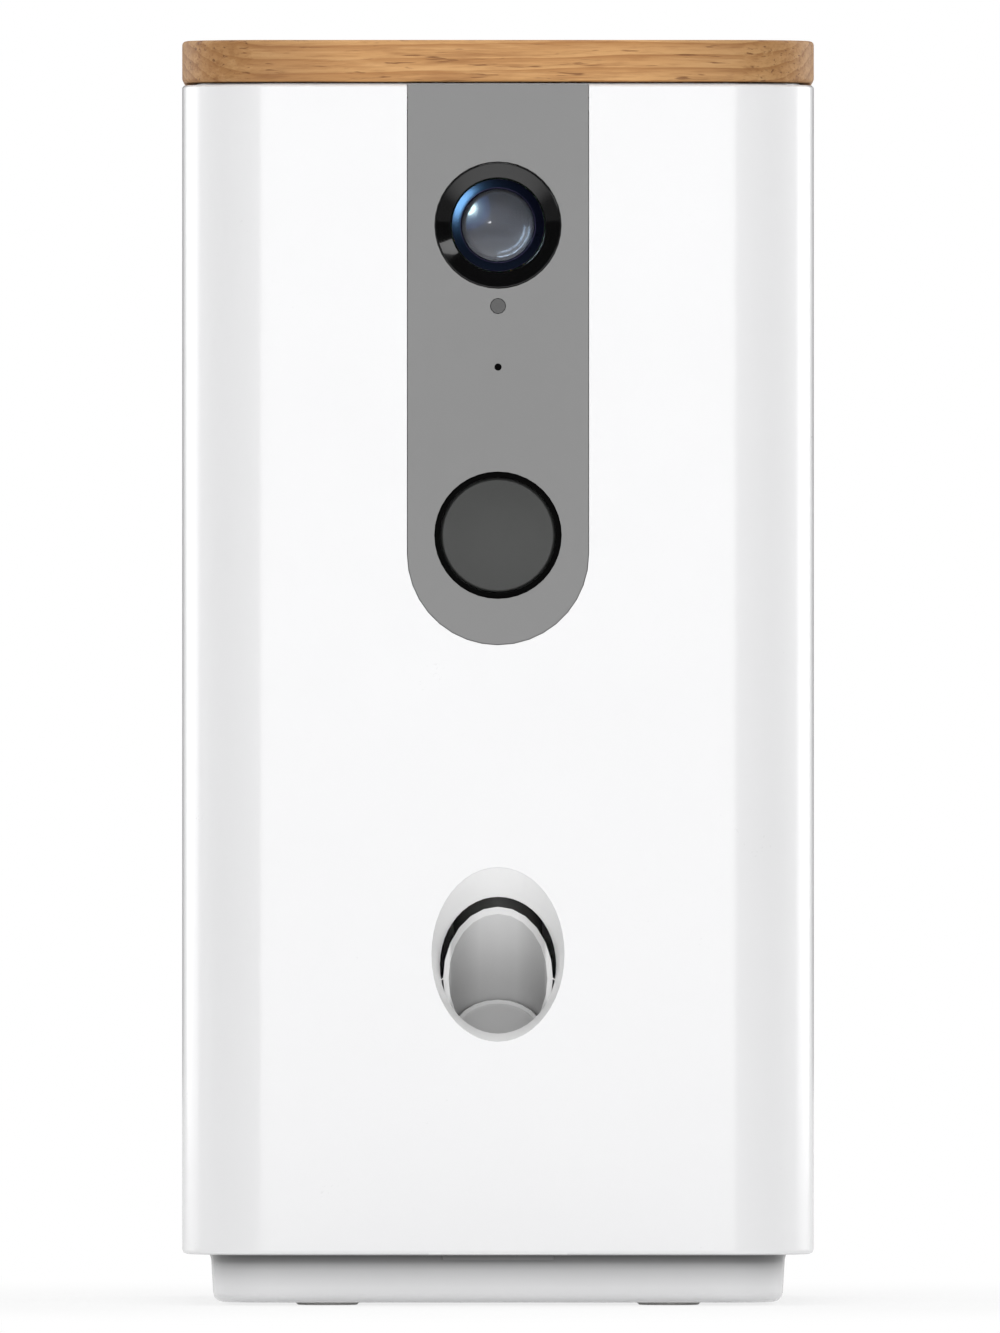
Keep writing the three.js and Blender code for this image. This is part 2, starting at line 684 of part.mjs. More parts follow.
function chuteRings(grow, near, far) {
  // The mouth's ellipse on the housing's face shrinks to the throat's at the chute's depth.
  return [near, far].map((y) => {
    const share = (y - faceY) / CHUTE_DEPTH;
    const mix = THREE.MathUtils.lerp;
    return {
      outline: ellipse(
        mix(CHUTE_MOUTH_HALF_WIDTH, CHUTE_THROAT_HALF_WIDTH, share) + grow,
        mix(CHUTE_MOUTH_HALF_HEIGHT, CHUTE_THROAT_HALF_HEIGHT, share) + grow,
        CHUTE_FACETS,
        0,
        mix(CHUTE_THROAT_HEIGHT + CHUTE_RISE, CHUTE_THROAT_HEIGHT, share),
      ),
      z: -y,
    };
  }).reverse();
}

function chuteSolid(grow, near, far) {
  return loft(chuteRings(grow, near, far)).rotateX(QUARTER);
}

function makeHousing() {
  const low = PLINTH_HEIGHT;
  const edge = HOUSING_LOW_EDGE;
  const shell = loft([
    { outline: bodyOutline(edge), z: low },
    { outline: bodyOutline(edge * (1 - Math.SQRT1_2)), z: low + edge * (1 - Math.SQRT1_2) },
    { outline: bodyOutline(0), z: low + edge },
    { outline: bodyOutline(0), z: housingTop - HOUSING_TOP_EDGE },
    { outline: bodyOutline(HOUSING_TOP_EDGE), z: housingTop },
  ]);
  const collar = chuteSolid(CHUTE_WALL, innerFaceY - WALL / 2, faceY + CHUTE_DEPTH);
  const inside = prism(insideOutline(0, CORNER_STEPS), low - OVERRUN, housingTop + OVERRUN);
  const channel = prismAlongY(
    tongue(PANEL_WIDTH, panelRoundHeight, housingTop + OVERRUN),
    faceY - OVERRUN,
    innerFaceY + OVERRUN,
  );
  const chute = chuteSolid(0, faceY - OVERRUN, faceY + CHUTE_DEPTH + OVERRUN);
  const backHoles = [
    circle(GRILLE_RADIUS + SEAT, RING_FACETS, 0, BACK_GRILLE_HEIGHT),
    circle(JACK_NOSE_RADIUS + JACK_HOLE_GAP, ROUND_FACETS, 0, jackHeight),
  ].map((outline) => prismAlongY(outline, -innerFaceY - OVERRUN, -faceY + OVERRUN));
  const hollow = cut(shell, inside);
  piece('outer_housing', cut(join(hollow, collar), channel, chute, ...backHoles), MATERIALS.white);
}

function plinthOutline(inset) {
  return bodyOutline(inset, PLINTH_CORNER_STEPS);
}

function makePlinth() {
  const side = PLINTH_INSET;
  const low = FOOT_PROUD;
  const flangeLow = PLINTH_HEIGHT + PLINTH_FLANGE_RISE;
  const neckLow = flangeLow - PLINTH_NECK;
  const turns = Array.from({ length: EDGE_STEPS + 1 }, (_, i) => QUARTER * i / EDGE_STEPS);
  const foot = loft([
    ...turns.map((angle) => ({
      outline: plinthOutline(side + PLINTH_DRAFT + PLINTH_EDGE * (1 - Math.sin(angle))),
      z: low + PLINTH_EDGE * (1 - Math.cos(angle)),
    })),
    ...turns.map((angle) => ({
      outline: plinthOutline(side - PLINTH_NECK * (1 - Math.cos(angle))),
      z: neckLow + PLINTH_NECK * Math.sin(angle),
    })),
  ]);
  const flange = prism(insideOutline(SLIP, PLINTH_CORNER_STEPS), flangeLow, plinthTop);
  const tab = box(
    [-PLINTH_TAB_WIDTH / 2, faceY + side - PLINTH_TAB_REACH, flangeLow - PLINTH_TAB_HEIGHT],
    [PLINTH_TAB_WIDTH / 2, faceY + side + PLINTH_WALL / 2, flangeLow + PLINTH_FLANGE / 2],
  );
  const tray = prism(plinthOutline(side + PLINTH_WALL), plinthFloor, plinthTop + OVERRUN);
  const column = (radius, facets, x, y, top) => (
    prism(circle(radius, facets, x, y), low + PLINTH_FLOOR / 2, top)
  );
  const bosses = CORNERS.map(([, x, y]) => (
    column(PLINTH_BOSS_RADIUS, SMALL_FACETS, x * postX, y * postY, plinthTop)
  ));
  const standoffs = (halfWidth, frontY, rearY, top) => [frontY, rearY].flatMap((y) => (
    [-halfWidth, halfWidth].map((x) => column(STANDOFF_RADIUS, SCREW_FACETS, x, y, top))
  ));
  const frameStandoffs = standoffs(
    frameOuter + FRAME_FLANGE / 2,
    frameFrontY + FRAME_STANDOFF_INSET,
    frameRearY - FRAME_STANDOFF_INSET,
    FRAME_LOW - SEAT,
  );
  const boardStandoffs = standoffs(
    MAIN_BOARD_HALF_WIDTH * MAIN_BOARD_STANDOFF_SHARE,
    boardFrontY + MAIN_BOARD_INSET,
    boardRearY - MAIN_BOARD_INSET,
    MAIN_BOARD_HEIGHT - SEAT,
  );
  const cuts = CORNERS.flatMap(([, x, y]) => [
    prism(circle(FOOT_RADIUS + SEAT, ROUND_FACETS, x * footX, y * postY), low - OVERRUN, low + FOOT_RECESS),
    prism(
      circle(SCREW_HEAD_RADIUS + SLIP, SMALL_FACETS, x * postX, y * postY),
      low - OVERRUN,
      low + SCREW_HEAD_HEIGHT + SLIP,
    ),
    prism(circle(SCREW_SHANK_RADIUS + SLIP, SCREW_FACETS, x * postX, y * postY), low, plinthTop + OVERRUN),
  ]);
  const walls = cut(join(foot, flange, tab), tray);
  const tooled = cut(join(walls, ...bosses, ...frameStandoffs, ...boardStandoffs), ...cuts);
  piece('base_plinth', tooled, MATERIALS.white);

  for (const [corner, x, y] of CORNERS) {
    const pad = turned([
      [0, 0],
      [FOOT_RADIUS - FOOT_PROUD, 0],
      [FOOT_RADIUS, FOOT_PROUD],
      [FOOT_RADIUS, FOOT_PROUD + FOOT_RECESS - SEAT],
      [0, FOOT_PROUD + FOOT_RECESS - SEAT],
    ], ROUND_FACETS);
    piece(`foot_${corner}`, pad, MATERIALS.paleRubber).position.set(x * footX, y * postY, 0);
    const length = plinthTop + SCREW_BITE - low - SCREW_HEAD_HEIGHT;
    const fastener = screw(SCREW_HEAD_RADIUS, SCREW_HEAD_HEIGHT, SCREW_SHANK_RADIUS, length);
    const screwZ = low + SCREW_HEAD_HEIGHT + SLIP - SEAT / 2;
    piece(`base_screw_${corner}`, fastener, MATERIALS.steel).position.set(x * postX, y * postY, screwZ);
  }
}

function makeLid() {
  const edge = LID_EDGE;
  const turns = Array.from({ length: EDGE_STEPS + 1 }, (_, i) => QUARTER * i / EDGE_STEPS);
  const rounded = (z, direction) => turns.map((angle) => ({
    outline: bodyOutline(edge * (1 - Math.sin(angle))),
    z: z + direction * edge * (1 - Math.cos(angle)),
  }));
  const slab = loft([...rounded(lidLow, 1), ...rounded(lidLow + LID_HEIGHT, -1).reverse()]);
  const screwX = plugWidth / 2 - LID_SCREW_INSET;
  const screwY = plugDepth / 2 - LID_SCREW_INSET;
  const screwHoles = (low, high) => CORNERS.map(([, x, y]) => prism(
    circle(LID_SCREW_SHANK + SEAT, SCREW_FACETS, x * screwX, y * screwY + hopperMiddleY),
    low,
    high,
  ));
  const pilots = screwHoles(lidLow - OVERRUN, lidLow + LID_SCREW_BITE);
  piece('lid_top', cut(slab, ...pilots), MATERIALS.wood);

  const plug = (grow) => roundedRectangle(
    plugWidth + 2 * grow,
    plugDepth + 2 * grow,
    plugCorner + grow,
    0,
    hopperMiddleY,
    INNER_CORNER_STEPS,
  );
  const plate = prism(insideOutline(LINER_GAP, CORNER_STEPS), linerLow, linerTop);
  const ring = cut(
    prism(plug(0), linerLow - PLUG_DEPTH, linerLow + LINER_PLATE / 2),
    prism(plug(-PLUG_WALL), linerLow - PLUG_DEPTH - OVERRUN, linerLow),
  );
  const passages = screwHoles(linerLow - OVERRUN, linerTop + OVERRUN);
  piece('lid_liner', cut(join(plate, ring), ...passages), MATERIALS.white);

  const sealTop = linerLow - SEAL_DROP;
  const lipShares = [[0, 0], [1 / 5, 1], [2 / 5, 0], [3 / 5, 0], [4 / 5, 1], [1, 0]];
  const lips = loft(lipShares.map(([rise, reach]) => ({
    outline: plug(SEAT + THREE.MathUtils.lerp(SEAL_WEB, SEAL_LIP, reach)),
    z: sealTop - SEAL_HEIGHT * (1 - rise),
  })));
  const sealBore = prism(plug(SEAT), sealTop - SEAL_HEIGHT - OVERRUN, sealTop + OVERRUN);
  piece('lid_seal', cut(lips, sealBore), MATERIALS.silicone);

  for (const [corner, x, y] of CORNERS) {
    const fastener = screw(
      LID_SCREW_HEAD,
      LID_SCREW_HEAD_HEIGHT,
      LID_SCREW_SHANK,
      lidLow + LID_SCREW_BITE - linerLow - 2 * SEAT,
    );
    const placed = piece(`lid_screw_${corner}`, fastener, MATERIALS.steel);
    placed.position.set(x * screwX, y * screwY + hopperMiddleY, linerLow - SEAT / 2);
  }
}

function makeFrontPanel() {
  const width = PANEL_WIDTH - 2 * PANEL_GAP;
  const flangeTop = housingTop - PANEL_TOP_DROP;
  const plate = prismAlongY(tongue(width, panelRoundHeight, housingTop), faceY, innerFaceY);
  const neck = prismAlongY(tongue(width, panelRoundHeight, flangeTop), faceY + WALL / 2, panelBackY);
  const flange = prismAlongY(
    tongue(PANEL_WIDTH + 2 * PANEL_LEDGE, panelRoundHeight, flangeTop),
    panelFlangeY,
    panelBackY,
  );
  const posts = [
    [cameraHeight - CAMERA_POST_RISE, CAMERA_BOARD_DEPTH],
    [cameraHeight + CAMERA_POST_RISE, CAMERA_BOARD_DEPTH],
    [buttonHeight - BUTTON_POST_RISE, BUTTON_BOARD_DEPTH],
    [buttonHeight + BUTTON_POST_RISE, BUTTON_BOARD_DEPTH],
  ].flatMap(([z, depth]) => [-1, 1].map((side) => prismAlongY(
    circle(PANEL_POST_RADIUS, SCREW_FACETS, side * PANEL_POST_X, z),
    panelBackY - PANEL_FLANGE / 2,
    faceY + depth - SEAT,
  )));
  const holes = [
    [BEZEL_RADIUS + BEZEL_GAP, RING_FACETS, cameraHeight],
    [LIGHT_PIPE_RADIUS + LIGHT_PIPE_GAP, SMALL_FACETS, cameraHeight - LIGHT_PIPE_DROP],
    [MICROPHONE_HOLE, SMALL_FACETS, cameraHeight - MICROPHONE_DROP],
    [BUTTON_RING_RADIUS + BEZEL_GAP, RING_FACETS, buttonHeight],
  ].map(([radius, facets, z]) => (
    prismAlongY(circle(radius, facets, 0, z), faceY - OVERRUN, panelBackY + OVERRUN)
  ));
  piece('front_panel', cut(join(plate, neck, flange, ...posts), ...holes), MATERIALS.panel);
}

// A lens with one domed face, its dome towards the front.
function lens(radius, edge, dome, backY) {
  const front = backY - edge;
  const sphere = (radius * radius + dome * dome) / (2 * dome);
  const reach = Math.asin(radius / sphere);
  const domed = Array.from({ length: LENS_STEPS + 1 }, (_, i) => {
    const angle = reach * i / LENS_STEPS;
    return [sphere * Math.sin(angle), front - dome + sphere * (1 - Math.cos(angle))];
  });
  return turnedAlongY([...domed, [radius, backY], [0, backY]], ROUND_FACETS);
}

function makeCamera() {
  const camera = new THREE.Group();
  camera.position.z = cameraHeight;
  device.add(camera);

  const bezel = turnedAlongY([
    [BEZEL_BORE, faceY + BEZEL_DISH],
    [BEZEL_RADIUS - BEZEL_RIM, faceY],
    [BEZEL_RADIUS, faceY + BEZEL_RIM],
    [BEZEL_RADIUS, insertFlangeY],
    [INSERT_FLANGE_RADIUS, insertFlangeY],
    [INSERT_FLANGE_RADIUS, insertBackY],
    [LED_GROOVE_OUTER, insertBackY],
    [LED_GROOVE_OUTER, insertBackY - LED_GROOVE_DEPTH],
    [LED_GROOVE_INNER, insertBackY - LED_GROOVE_DEPTH],
    [LED_GROOVE_INNER, insertBackY],
    [BEZEL_BORE, insertBackY],
    [BEZEL_BORE, faceY + BEZEL_DISH],
  ], RING_FACETS);
  piece('lens_bezel', bezel, MATERIALS.black, camera);

  const boardY = faceY + CAMERA_BOARD_DEPTH;
  const rimY = faceY + LENS_BARREL_RECESS;
  const seatY = rimY + LENS_SEAT_DEPTH;
  const innerY = seatY + LENS_THROAT_DEPTH;
  const innerBore = INNER_LENS_RADIUS + SLIP;
  const baffles = Array.from({ length: BAFFLE_COUNT }, (_, i) => {
    const radius = innerBore + i * BAFFLE_PITCH;
    const y = seatY + (BAFFLE_COUNT - 1 - i) * BAFFLE_STEP;
    return [[radius, y + BAFFLE_STEP], [radius, y + BAFFLE_FALL], [radius + BAFFLE_WIDTH, y]];
  }).flat();
  const barrel = turnedAlongY([
    [0, innerY + INNER_LENS_DEPTH],
    [innerBore, innerY + INNER_LENS_DEPTH],
    ...baffles,
    [LENS_SEAT_RADIUS, seatY],
    [LENS_SEAT_RADIUS, rimY],
    [LENS_BARREL_RADIUS, rimY],
    [LENS_BARREL_RADIUS, boardY - SEAT],
    [0, boardY - SEAT],
  ], ROUND_FACETS);
  piece('lens_barrel', barrel, MATERIALS.black, camera);
  const retainerY = rimY - SEAT;
  const retainer = turnedAlongY([
    [RETAINER_BORE, retainerY - RETAINER_LIP],
    [RETAINER_CREST_RADIUS, retainerY - RETAINER_CREST],
    [RETAINER_SHOULDER_RADIUS, retainerY - RETAINER_SHOULDER],
    [LENS_BARREL_RADIUS, retainerY - RETAINER_EDGE],
    [LENS_BARREL_RADIUS, retainerY],
    [RETAINER_BORE, retainerY],
    [RETAINER_BORE, retainerY - RETAINER_LIP],
  ], RING_FACETS);
  piece('lens_retainer', retainer, MATERIALS.black, camera);
  const frontLens = lens(FRONT_LENS_RADIUS, FRONT_LENS_EDGE, FRONT_LENS_DOME, seatY - SEAT);
  piece('front_lens', frontLens, MATERIALS.glass, camera);
  const innerLensY = innerY + INNER_LENS_DEPTH - SEAT;
  const innerLens = lens(INNER_LENS_RADIUS, INNER_LENS_EDGE, INNER_LENS_DOME, innerLensY);
  piece('inner_lens', innerLens, MATERIALS.glass, camera);

  const ledY = insertBackY + SEAT;
  const ledCircle = (LED_GROOVE_INNER + LED_GROOVE_OUTER) / 2;
  const ringBoard = prismAlongY(
    circle(INSERT_FLANGE_RADIUS, ROUND_FACETS),
    ledY,
    ledY + LED_BOARD,
    [circle(LENS_BARREL_RADIUS + SLIP, ROUND_FACETS)],
  );
  const leds = Array.from({ length: LED_COUNT }, (_, i) => {
    const angle = TURN * i / LED_COUNT;
    const place = [ledCircle * Math.cos(angle), ledCircle * Math.sin(angle)];
    return prismAlongY(circle(LED_RADIUS, SCREW_FACETS, ...place), ledY - LED_LENGTH, ledY + LED_BOARD / 2);
  });
  piece('ir_led_board', join(ringBoard, ...leds), MATERIALS.board, camera);

  const half = CAMERA_BOARD_SIDE / 2;
  const board = box([-half, boardY, -half], [half, boardY + BOARD_THICKNESS, half]);
  piece('camera_board', board, MATERIALS.board, camera);
}

function makeSensors() {
  const pipe = turnedAlongY([
    [0, faceY],
    [LIGHT_PIPE_RADIUS, faceY],
    [LIGHT_PIPE_RADIUS, insertFlangeY],
    [LIGHT_PIPE_COLLAR, insertFlangeY],
    [LIGHT_PIPE_COLLAR, insertBackY],
    [LIGHT_PIPE_RADIUS, insertBackY],
    [LIGHT_PIPE_RADIUS, faceY + LIGHT_PIPE_LENGTH],
    [0, faceY + LIGHT_PIPE_LENGTH],
  ], SMALL_FACETS);
  piece('light_pipe', pipe, MATERIALS.smoke).position.z = cameraHeight - LIGHT_PIPE_DROP;
  const capsule = turnedAlongY([
    [0, insertFlangeY + MICROPHONE_HOLE],
    [MICROPHONE_HOLE, insertFlangeY + MICROPHONE_HOLE],
    [MICROPHONE_HOLE, insertFlangeY],
    [MICROPHONE_RADIUS, insertFlangeY],
    [MICROPHONE_RADIUS, insertFlangeY + MICROPHONE_DEPTH],
    [0, insertFlangeY + MICROPHONE_DEPTH],
  ], SMALL_FACETS);
  piece('microphone', capsule, MATERIALS.rubber).position.z = cameraHeight - MICROPHONE_DROP;
}

function makeButton() {
  const group = new THREE.Group();
  group.position.z = buttonHeight;
  device.add(group);

  const stopY = insertBackY - INSERT_FLANGE / 2;
  const ring = turnedAlongY([
    [BUTTON_RING_BORE, faceY],
    [BUTTON_RING_RADIUS, faceY],
    [BUTTON_RING_RADIUS, insertFlangeY],
    [INSERT_FLANGE_RADIUS, insertFlangeY],
    [INSERT_FLANGE_RADIUS, insertBackY],
    [BUTTON_FLANGE_RADIUS + SLIP, insertBackY],
    [BUTTON_FLANGE_RADIUS + SLIP, stopY],
    [BUTTON_RING_BORE, stopY],
    [BUTTON_RING_BORE, faceY],
  ], RING_FACETS);
  piece('button_ring', ring, MATERIALS.mattBlack, group);

  const rimY = faceY + BUTTON_SUNK;
  const flangeY = stopY + SEAT;
  const wellY = rimY + BUTTON_CROWN;
  const boardY = faceY + BUTTON_BOARD_DEPTH;
  const switchY = boardY - SEAT - SWITCH_BODY - SWITCH_NIB;
  const stemY = switchY - SWITCH_GAP - BUTTON_TRAVEL;
  const dishShares = [0, 1 / 2, 4 / 5];
  const dish = dishShares.map((share) => [
    share * (BUTTON_RADIUS - BUTTON_EDGE),
    rimY + BUTTON_DISH * (1 - share * share),
  ]);
  const cap = turnedAlongY([
    ...dish,
    [BUTTON_RADIUS - BUTTON_EDGE, rimY],
    [BUTTON_RADIUS, rimY + BUTTON_EDGE],
    [BUTTON_RADIUS, flangeY],
    [BUTTON_FLANGE_RADIUS, flangeY],
    [BUTTON_FLANGE_RADIUS, flangeY + BUTTON_FLANGE],
    [BUTTON_WELL_RADIUS, flangeY + BUTTON_FLANGE],
    [BUTTON_WELL_RADIUS, wellY],
    [BUTTON_STEM_RADIUS, wellY],
    [BUTTON_STEM_RADIUS, stemY],
    [0, stemY],
  ], RING_FACETS);
  piece('toss_button', cap, MATERIALS.button, group);

  const spring = coil(
    'button_spring',
    BUTTON_SPRING_RADIUS,
    BUTTON_SPRING_WIRE,
    wellY + SEAT,
    boardY - SEAT,
    BUTTON_SPRING_TURNS,
  );
  piece('button_spring', spring.rotateX(-QUARTER), MATERIALS.steel, group);

  const halfWidth = BUTTON_BOARD_WIDTH / 2;
  const halfHeight = BUTTON_BOARD_HEIGHT / 2;
  const board = box([-halfWidth, boardY, -halfHeight], [halfWidth, boardY + BOARD_THICKNESS, halfHeight]);
  piece('button_board', board, MATERIALS.board, group);
  const tact = join(
    prismAlongY(rectangle(SWITCH_SIDE, SWITCH_SIDE), boardY - SEAT - SWITCH_BODY, boardY - SEAT),
    prismAlongY(circle(SWITCH_NIB_RADIUS, SMALL_FACETS), switchY, boardY - SEAT - SWITCH_BODY / 2),
  );
  piece('tact_switch', tact, MATERIALS.black, group);
}

// One tooth of a gear, root to root, its middle at the given angle.
function toothOutline(positions, middle) {
  const pitch = TOOTH_MODULE * positions / 2;
  const base = pitch * Math.cos(PRESSURE_ANGLE);
  const involute = (angle) => Math.tan(angle) - angle;
  const halfAngle = (radius) => (
    (Math.PI * TOOTH_MODULE / 2 - BACKLASH) / (2 * pitch)
    + involute(PRESSURE_ANGLE)
    - involute(Math.acos(base / radius))
  );
  const flank = [
    [pitch - DEDENDUM, halfAngle(base)],
    [base, halfAngle(base)],
    [pitch, halfAngle(pitch)],
    [pitch + ADDENDUM, halfAngle(pitch + ADDENDUM)],
  ];
  const point = (radius, angle) => new THREE.Vector2(radius * Math.cos(angle), radius * Math.sin(angle));
  return [
    ...flank.map(([radius, half]) => point(radius, middle - half)),
    ...flank.reverse().map(([radius, half]) => point(radius, middle + half)),
  ];
}

// A pinion with teeth on part of its rim. The first tooth points up at the rack, the others follow it.
function pinionOutline() {
  const step = TURN / PINION_POSITIONS;
  const teeth = Array.from({ length: PINION_TEETH }, (_, i) => (
    toothOutline(PINION_POSITIONS, QUARTER + i * step)
  )).flat();
  const bareFrom = QUARTER + (PINION_TEETH - 1 / 2) * step;
  const bareTo = QUARTER + TURN - step / 2;
  return [...teeth, ...arc(pinionRadius - DEDENDUM, bareFrom, bareTo, PINION_BARE_STEPS)];
}

// The rack seen from the right, its teeth down. At rest a gap faces the pinion's first tooth.
function rackOutline() {
  const pitch = Math.PI * TOOTH_MODULE;
  const from = PLUNGER_REST + RACK_START;
  const spread = Math.tan(PRESSURE_ANGLE);
  const half = (pitch / 2 - BACKLASH) / 2;
  const lastTooth = PINION_PLACE + pitch / 2;
  const end = lastTooth + half + DEDENDUM * spread + RACK_TAIL;
  const teeth = Array.from({ length: RACK_TEETH }, (_, i) => {
    const middle = lastTooth - (RACK_TEETH - 1 - i) * pitch;
    return [
      [middle - half - DEDENDUM * spread, -RACK_ROOT],
      [middle - half + ADDENDUM * spread, -pitchLine - ADDENDUM],
      [middle + half - ADDENDUM * spread, -pitchLine - ADDENDUM],
      [middle + half + DEDENDUM * spread, -RACK_ROOT],
    ];
  }).flat();
  return [
    [from, -RACK_ROOT],
    ...teeth,
    [end, -RACK_ROOT],
    [end, -PLUNGER_POCKET - PLUNGER_FACE_EDGE],
    [from, -PLUNGER_POCKET - PLUNGER_FACE_EDGE],
  ].map(([y, z]) => new THREE.Vector2(y, z));
}

function makeLauncher() {
  const outer = barrelRadius;
  const lead = outer; // extra tube ahead of the mouth, which the upright cut takes off
  const rackSlot = box(
    [-RACK_WIDTH / 2 - RACK_SLOT_GAP, PLUNGER_REST + RACK_START - SLIP, -outer - OVERRUN],
    [RACK_WIDTH / 2 + RACK_SLOT_GAP, BARREL_LENGTH + BARREL_CAP + OVERRUN, -PLUNGER_POCKET],
  );
  const tube = prismAlongY(circle(outer, ROUND_FACETS), -lead, BARREL_LENGTH);
  const lugs = [BARREL_LUG_FRONT, barrelLugRear].map((along) => prismAlongX(
    circle(BARREL_LUG_RADIUS, SMALL_FACETS, along, 0),
    -frameInner + SEAT,
    frameInner - SEAT,
  ));
  // The drop tube's collar stands upright, so it is built that way and then leant into the launcher.
  const intoLauncher = (geometry) => (
    geometry.translate(0, -barrelMouthY, -barrelMouthHeight).rotateX(LAUNCH_TILT)
  );
  const dropPrism = (radius, top) => intoLauncher(
    prism(circle(radius, ROUND_FACETS, 0, dropY), dropFoot, top),
  );
  const collar = dropPrism(DROP_BORE + DROP_WALL, dropCollarTop);
  const drop = dropPrism(DROP_BORE, dropCollarTop + OVERRUN);
  const reach = 2 * outer;
  const mouthCut = intoLauncher(box(
    [-reach, barrelMouthY - 2 * reach, barrelMouthHeight - 2 * reach],
    [reach, barrelMouthY, barrelMouthHeight + 2 * reach],
  ));
  const bore = prismAlongY(circle(BARREL_BORE, ROUND_FACETS), -lead - OVERRUN, BARREL_LENGTH + OVERRUN);
  const barrel = cut(join(tube, ...lugs, collar), bore, drop, rackSlot, mouthCut);
  piece('launch_barrel', barrel, MATERIALS.chute, launcher);

  const capY = BARREL_LENGTH + SEAT;
  const cap = join(
    prismAlongY(circle(outer, ROUND_FACETS), capY, capY + BARREL_CAP),
    prismAlongY(circle(SPRING_PEG_RADIUS, SMALL_FACETS), capY - SPRING_PEG_LENGTH, capY + BARREL_CAP / 2),
  );
  piece('barrel_cap', cut(cap, rackSlot), MATERIALS.nylon, launcher);

  const face = PLUNGER_REST;
  const plungerRadius = BARREL_BORE - SLIP;
  const head = turnedAlongY([
    [0, face + PLUNGER_DISH],
    [plungerRadius - PLUNGER_FACE_EDGE - PLUNGER_DISH, face + PLUNGER_DISH],
    [plungerRadius - PLUNGER_FACE_EDGE, face],
    [plungerRadius, face + PLUNGER_FACE_EDGE],
    [plungerRadius, face + plungerLength],
    [PLUNGER_POCKET, face + plungerLength],
    [PLUNGER_POCKET, face + PLUNGER_CROWN],
    [0, face + PLUNGER_CROWN],
  ], ROUND_FACETS);
  const rack = prismAlongX(rackOutline(), -RACK_WIDTH / 2, RACK_WIDTH / 2);
  piece('launch_plunger', join(head, rack), MATERIALS.chute, launcher);

  const spring = coil(
    'launch_spring',
    LAUNCH_SPRING_RADIUS,
    LAUNCH_SPRING_WIRE,
    face + PLUNGER_CROWN + SEAT,
    capY - SEAT,
    LAUNCH_SPRING_TURNS,
  );
  piece('launch_spring', spring.rotateX(-QUARTER), MATERIALS.steel, launcher);

  const pinion = prismAlongX(
    pinionOutline(),
    -PINION_WIDTH / 2,
    PINION_WIDTH / 2,
    [circle(SHAFT_RADIUS + SEAT, SMALL_FACETS)],
  );
  piece('launch_pinion', pinion, MATERIALS.nylon, launcher).position.set(0, PINION_PLACE, -pinionDrop);

  const shaft = prismAlongX(
    circle(SHAFT_RADIUS, SMALL_FACETS),
    -frameOuter - SLIP,
    frameOuter + GEARBOX_BORE_DEPTH - SLIP,
  );
  piece('pinion_shaft', shaft, MATERIALS.steel, launcher).position.set(0, PINION_PLACE, -pinionDrop);
}

function makeLauncherFrame() {
  const [frontY, frontZ] = launchPoint(BARREL_LUG_FRONT, 0);
  const [rearY, rearZ] = launchPoint(barrelLugRear, 0);
  const cheek = [
    [frameFrontY, FRAME_LOW],
    [frameRearY, FRAME_LOW],
    [frameRearY, rearZ + FRAME_MARGIN],
    [rearY + FRAME_MARGIN, rearZ + FRAME_MARGIN],
    [frontY + FRAME_MARGIN, frontZ + FRAME_MARGIN],
    [frameFrontY, frontZ + FRAME_MARGIN],
  ].map(([y, z]) => new THREE.Vector2(y, z));
  const shaftHole = circle(SHAFT_RADIUS + SLIP, SMALL_FACETS, pinionY, pinionZ);
  const cheeks = [-frameOuter, frameInner].map((left) => (
    prismAlongX(cheek, left, left + FRAME_CHEEK, [shaftHole])
  ));
  const halfWidth = frameOuter + FRAME_FLANGE;
  const plate = box([-halfWidth, frameFrontY, FRAME_LOW], [halfWidth, frameRearY, FRAME_LOW + FRAME_PLATE]);
  piece('launcher_frame', join(...cheeks, plate), MATERIALS.nylon);
}

// A flat gearbox with its output bore near one end and the motor at the other. Its shaft axis is z,
// the bore opens upwards at z = 0, and the motor points along +y.
function gearmotor() {
  const middle = GEARBOX_LENGTH / 2 - GEARBOX_SHAFT_INSET;
  const end = GEARBOX_LENGTH - GEARBOX_SHAFT_INSET;
  const boxed = prism(
    roundedRectangle(GEARBOX_WIDTH, GEARBOX_LENGTH, GEARBOX_CORNER, 0, middle, 2),
    -GEARBOX_THICKNESS,
    0,
    [circle(SHAFT_RADIUS + SLIP, SMALL_FACETS)],
  );
  const floor = prism(
    circle(SHAFT_RADIUS + OVERRUN, SMALL_FACETS),
    -GEARBOX_THICKNESS,
    -GEARBOX_BORE_DEPTH,
  );
  const can = turnedAlongY([
    [0, end - OVERRUN],
    [MOTOR_RADIUS - MOTOR_NOSE / 2, end - OVERRUN],
    [MOTOR_RADIUS - MOTOR_NOSE / 2, end + MOTOR_LENGTH],
    [MOTOR_NOSE_RADIUS, end + MOTOR_LENGTH],
    [MOTOR_NOSE_RADIUS, end + MOTOR_LENGTH + MOTOR_NOSE],
    [0, end + MOTOR_LENGTH + MOTOR_NOSE],
  ], ROUND_FACETS).translate(0, 0, -GEARBOX_THICKNESS / 2);
  return join(boxed, floor, can);
}

function makeGearmotors() {
  const wheelMotor = piece('wheel_gearmotor', gearmotor(), MATERIALS.motor);
  wheelMotor.position.set(0, wheelY, deckLow - SLIP);
  wheelMotor.rotation.z = QUARTER;
  const launchMotor = piece('launch_gearmotor', gearmotor(), MATERIALS.motor);
  launchMotor.position.set(frameOuter + SLIP, pinionY, pinionZ);
  launchMotor.rotation.y = -QUARTER;
}

